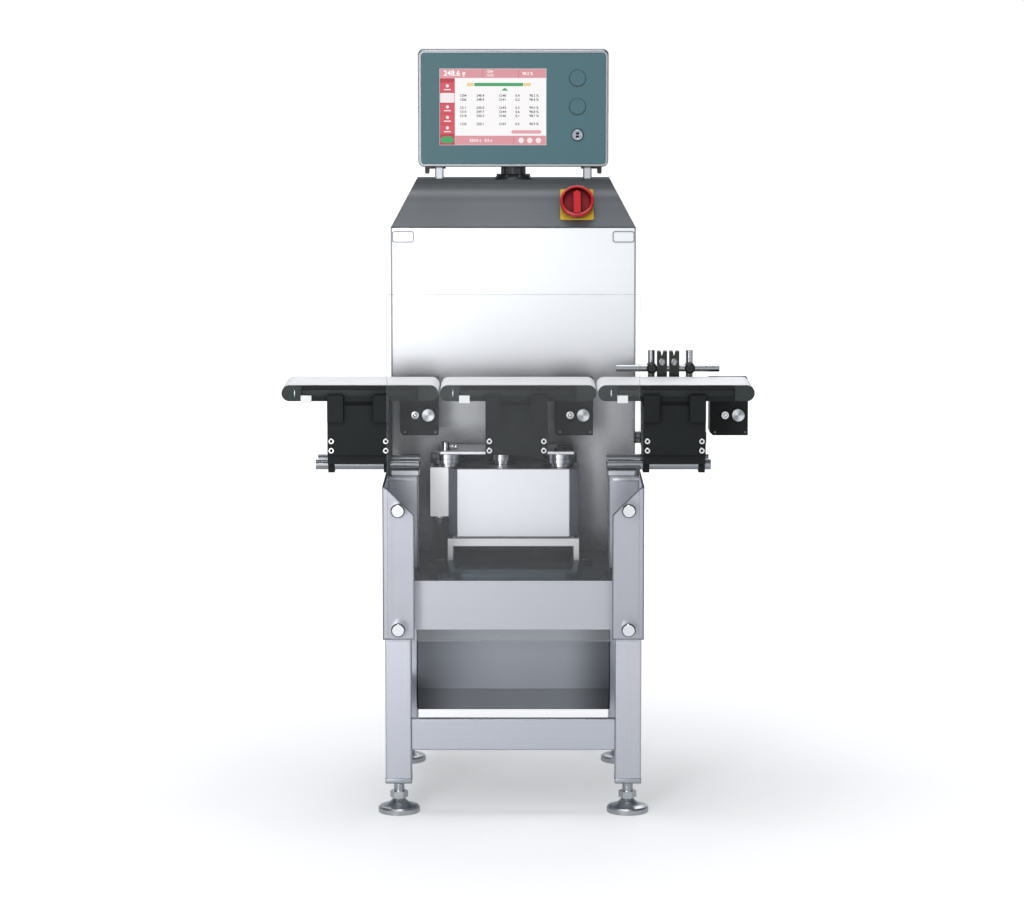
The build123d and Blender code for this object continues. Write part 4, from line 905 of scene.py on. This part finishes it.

# Two round keys are embossed in the film, each in a dark ring that is heavier below, painted as the key's shadow. A
# round port of satin steel with two slots is screwed in under them, on a painted shadow disc; its slots are black,
# painted shade of their hollows.
key_ring_shadow = moulded("painted_key_ring_shadow", "#27444b", 0.4, 0.0)
key_x, key_heights, port_height, port_slot_heights = middle_x + 128.8, (1398.6, 1341.9), 1284.8, (1281.7, 1287.9)
ring_outer, ring_inner, ring_shift = 17.5, 15.5, 0.4
circle = [(math.cos(2 * math.pi * i / 48), math.sin(2 * math.pi * i / 48)) for i in range(48)]
outer = [(ring_outer * x, ring_outer * y - ring_shift) for x, y in circle]
inner = [(ring_inner * x, ring_inner * y + ring_shift) for x, y in circle]
bm = bmesh.new()
for height in key_heights:
    band(bm, outer, inner, 0.0, 0.15, facing_front(key_x, film_front, height))
port_shadow = [(0, 0), (13.4, 0), (13.4, 0.3), (12.9, 0.5), (0, 0.5)]
turned(bm, port_shadow, (key_x, film_front, port_height), axis=to_front)
piece("key_ring_shadows", bm, key_ring_shadow)
bm = bmesh.new()
port_rings = [(0, 0.5), (10.8, 0.5), (10.8, 1.2), (10.0, 1.8), (7.4, 1.8), (6.8, 1.2), (0, 1.2)]
turned(bm, port_rings, (key_x, film_front, port_height), axis=to_front)
piece("port_ring", bm, brushed_steel("satin_steel_port", "#a9aeb6", 0.34, "X"))
bm = bmesh.new()
for height in port_slot_heights:
    sheet(bm, rounded(6.2, 4.8, 1.2, 4), 1.1, 1.4, facing_front(key_x, film_front, height))
piece("port_slots", bm, hole_shade_black)

# The display is a lit panel glued in behind dark glass. It shows a plain page: a column of red keys at the left, a
# pink header and footer, a green scale with a pointer, and rows of numbers. It glows a little.
case_half, page_inset, page_rise = 190.8, 42.8, 43.6
page_left, page_low = middle_x - case_half + page_inset, terminal_low + page_rise
page = facing_front(page_left, terminal_front + 0.4, page_low)


def lit(name, colour, glow=0.84):
    """A lit field of the display, seen through dark glass. Its fine dots are 0.25 mm; they are drawn 1 mm."""
    field, shader, where = start_finish(name)
    dots = node(field, "ShaderNodeTexNoise", {"Vector": where, "Scale": 1 / 0.001, "Detail": 1.0})
    shade = node(field, "ShaderNodeValToRGB", {"Fac": dots.outputs["Fac"]})
    tint(shade, linear(colour, 0.98), linear(colour, 1.02))
    glass = node(field, "ShaderNodeMix", {0: 0.8, 6: shade.outputs[0], 7: linear("#08080a")}, data_type="RGBA")
    fill(field, shader, {"Base Color": glass.outputs[2], "Roughness": 0.3})
    fill(field, shader, {"Emission Color": shade.outputs[0], "Emission Strength": glow})
    return field


def tile(bm, left, low, width, height, radius, level):
    """Adds one flat field of the page, from its left and lower edges, on a layer."""
    shift = Matrix.Translation((left + width / 2, low + height / 2, 0))
    sheet(bm, rounded(width, height, radius, 4), 0.02, 0.12 * level, page @ shift)


dress(lit("lit_white_field", "#f7f5f6"), "terminal_screen")
key_lows = [22.0 + 21.0 * i for i in range(5)]
pale_key = key_lows.pop(3)
header_and_footer = [(0.6, 134.4, 213.0, 18.0, 0.4, 1), (31.0, 0.6, 182.6, 18.4, 0.4, 1)]
dividers = [(left, low, 1.2, 18.0, 0.2, 2) for left, low in ((86.0, 134.4), (158.0, 134.4), (148.0, 0.6))]
red_keys = [(1.4, low, 28.4, 19.6, 2.0, 2) for low in key_lows]
white_marks = [(1.4, pale_key, 28.4, 19.6, 2.0, 2)]
for low in key_lows:
    white_marks += [(12.6, low + 9.4, 6.4, 6.4, 3.1, 3), (8.6, low + 4.0, 14.4, 2.2, 1.0, 3)]
white_marks += [(158.0 + 17.4 * i, 4.0, 11.0, 11.0, 5.4, 2) for i in range(3)]
start_key_and_scale = [(2.4, 4.0, 26.4, 13.6, 6.7, 2), (70.0, 118.0, 98.0, 6.6, 0.4, 1)]
scale_ends = [(left, 118.0, 14.0, 6.6, 0.4, 1) for left in (55.0, 169.0)]
scale_pointer = [(124, 109.0), (138, 109.0), (131, 115.0)]
for name, finish, colour, tiles in (
    ("page_bands", "lit_pink_field", "#d8949c", header_and_footer),
    ("page_dividers", "lit_dark_pink_line", "#bf7a86", dividers),
    ("page_pale_field", "lit_pale_pink_field", "#e3a0aa", [(144.0, 23.0, 60.0, 7.0, 3.2, 1)]),
    ("page_key_column", "lit_deep_red_column", "#b5303f", [(0.6, 0.6, 30.0, 133.4, 0.4, 1)]),
    ("page_red_keys", "lit_red_key", "#d04c5c", red_keys),
    ("page_white_marks", "lit_white_mark", "#f6e6e9", white_marks),
    ("page_green_fields", "lit_green_field", "#3f9f62", start_key_and_scale),
    ("page_yellow_fields", "lit_yellow_field", "#e8cf8e", scale_ends),
):
    bm = bmesh.new()
    for row in tiles:
        tile(bm, *row)
    if name == "page_green_fields":
        sheet(bm, scale_pointer, 0.02, 0.12, page)
    piece(name, bm, lit(finish, colour))
page_ink = lit("lit_grey_figures", "#3c3d44", 0.05)
page_white = lit("lit_white_figures", "#ffffff")


def figures(name, body, left, low, size, material, gap=1.0):
    """Writes plain numbers on the page, from their left and top line."""
    text = bpy.data.objects.new(name, bpy.data.curves.new(name, "FONT"))
    bpy.context.scene.collection.objects.link(text)
    text.data.body = body
    text.data.size = size / 1000
    text.data.space_line = gap
    text.data.offset = size / 60000
    text.data.extrude = 0.00003
    text.data.materials.append(material)
    text.matrix_world = facing_front(*(v / 1000 for v in (page @ Vector((left, low, 0.34)))))
    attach(text, "machine")


figures("page_value", "248.6 g", 8.0, 138.9, 15.0, page_white)
figures("page_header_count", "1204\n12:52", 94.0, 145.0, 6.6, page_white, 1.1)
figures("page_header_share", "98.2 %", 166.0, 140.6, 8.0, page_white)
figures("page_footer_line", "250.0 g   0.5 g", 60.0, 7.0, 8.0, page_white)
for x, rows in (
    (40.0, "1204\n1206\n\n1211\n1215\n1218\n\n1220"),
    (74.0, "248.4\n248.9\n\n250.0\n249.7\n250.2\n\n250.1"),
    (118.0, "12:40\n12:41\n\n12:43\n12:44\n12:46\n\n12:47"),
    (152.0, "0.4\n0.2\n\n0.3\n0.6\n0.1\n\n0.5"),
    (180.0, "98.2 %\n98.4 %\n\n99.0 %\n98.8 %\n98.7 %\n\n98.9 %"),
):
    figures(f"page_column_{round(x)}", rows, x, 97.0, 7.0, page_ink, 1.16)

# Two square uprights of satin stainless steel and a round neck carry the terminal. The neck is turned from steel,
# painted dark with a soft gloss, and screwed down with eight cap screws. Painted shade darkens the uprights' edges.
upright_steel = brushed_steel("satin_stainless_uprights", "#c6c7ce", 0.3, "Z", 0.02, rim=0.004)
dress(upright_steel, "terminal_uprights")
dark_paint = moulded("dark_painted_steel", "#343839", 0.38)
neck_y, rib_circle, screw_circle = 197.5, 23.6, 32.5
flange = [(0, 0), (37.5, 0), (37.5, 1.6), (36.4, 3.0), (30, 8.6), (28, 9.6)]
stem = [(24, 10.4), (24, 22.6), (25, 23.2), (25, 25.4), (0, 25.4)]
neck_rib, neck_screw = [(1.7, 0), (1.7, 12.8), (0, 12.8)], [(3.8, 0), (3.8, 3.6), (3.0, 4.6), (0, 4.6)]
bm = bmesh.new()
turned(bm, flange + stem, (middle_x, neck_y, hood_top), sides=96)
for i in range(16):
    angle = math.pi / 8 * (i + 0.5)
    spot = (middle_x + rib_circle * math.cos(angle), neck_y + rib_circle * math.sin(angle), hood_top + 10)
    turned(bm, neck_rib, spot, sides=16)
for i in range(8):
    angle = math.pi / 4 * i + 0.4
    spot = (middle_x + screw_circle * math.cos(angle), neck_y + screw_circle * math.sin(angle), hood_top + 4.6)
    turned(bm, neck_screw, spot, sides=24)
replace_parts(piece("neck_turning", bm, dark_paint), "terminal_neck")

# Two hooks for a hanging cable are screwed on under the terminal. Each is a steel bar, painted like the neck, with a
# rounded finger that narrows to its tip.
finger = [(-4.6, 0), (-4.6, -6), (-3.6, -10), (-1.6, -10), (1.6, -10), (3.6, -10), (4.6, -6), (4.6, 0)]
hook_front, hook_back = 184, 196
hook_inner, hook_outer, finger_aside = 136.4, 178.3, 173.6
bm = bmesh.new()
for side in (-1, 1):
    ends = sorted((middle_x + side * hook_inner, middle_x + side * hook_outer))
    block(bm, ends, (hook_front, hook_back), (terminal_low - 5, terminal_low), 1.0)
    tip = facing_front(middle_x + side * finger_aside, 0, terminal_low - 4.8)
    sheet(bm, finger[::-1], -hook_back, -hook_front, tip)
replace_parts(piece("cable_hooks", bm, dark_paint), "terminal_hooks")

# The product sensors stand behind the outfeed belt on drawn steel rods. Their heads and the round rod clamps are
# black moulded plastic with a soft gloss, and each head has an oval ring of dull steel round its lens.
black_plastic = moulded("black_moulded_plastic", "#111212", 0.42)
dress(brushed_steel("dull_drawn_rod", "#adb0b3", 0.3, "X", 0.03), "sensor_rods")
dress(black_plastic, "rod_clamps", "sensor_heads")
sensor_x, rod_y, rod_height = stations[2], leg_front + 329, line_height + 14.6
lens_places, clamp_places = (sensor_x - 20.8, sensor_x + 3.4), (sensor_x - 41.1, sensor_x + 34.4)
lens_ring = [(0, 0.6), (4.2, 0.8), (5.0, 1.8), (5.7, 1.6), (6.0, 0)]
rings = bmesh.new()
for x in lens_places:
    turned(rings, lens_ring, (x, rod_y - 11, rod_height + 13.6), axis=to_front, sides=32, stretch=1.2)
piece("sensor_lens_rings", rings, brushed_steel("dull_lens_ring", "#a2a6a9", 0.3, "X"))
knurl, knurls = [(10.1, -0.8), (10.9, -0.3), (10.9, 0.3), (10.1, 0.8)], 24
clamp_face = [(0, 1.4), (3.2, 1.4), (3.2, 2.4), (6.8, 2.4), (8.4, 1.4), (9.6, 0)]
bm = bmesh.new()
for x in clamp_places:
    place = facing_front(x, rod_y - 9.2, rod_height)
    for i in range(knurls):
        sheet(bm, knurl, -30, -1, place @ Matrix.Rotation(2 * math.pi * i / knurls, 4, "Z"))
    turned(bm, clamp_face, (x, rod_y - 9, rod_height), axis=to_front, sides=40)
piece("clamp_knurls", bm, black_plastic)

# The sensors' bracket is a black anodised bar. It is bolted to the outfeed carrier with four zinc plated screws, two
# at either end of it, which show as dull grey dots.
bracket_screw = [(0, 1.2), (1.8, 1.2), (1.8, 2.6), (3.4, 2.6), (3.9, 1.8), (3.9, 0)]
bracket_y, bracket_screw_places = leg_front + 335, (sensor_x - 68, sensor_x + 62)
bracket_screw_heights = (680.5, 690.5)
bm = bmesh.new()
for x in bracket_screw_places:
    for height in bracket_screw_heights:
        turned(bm, bracket_screw, (x, bracket_y, height), axis=to_front, sides=24)
piece("bracket_screws", bm, bolt_steel)
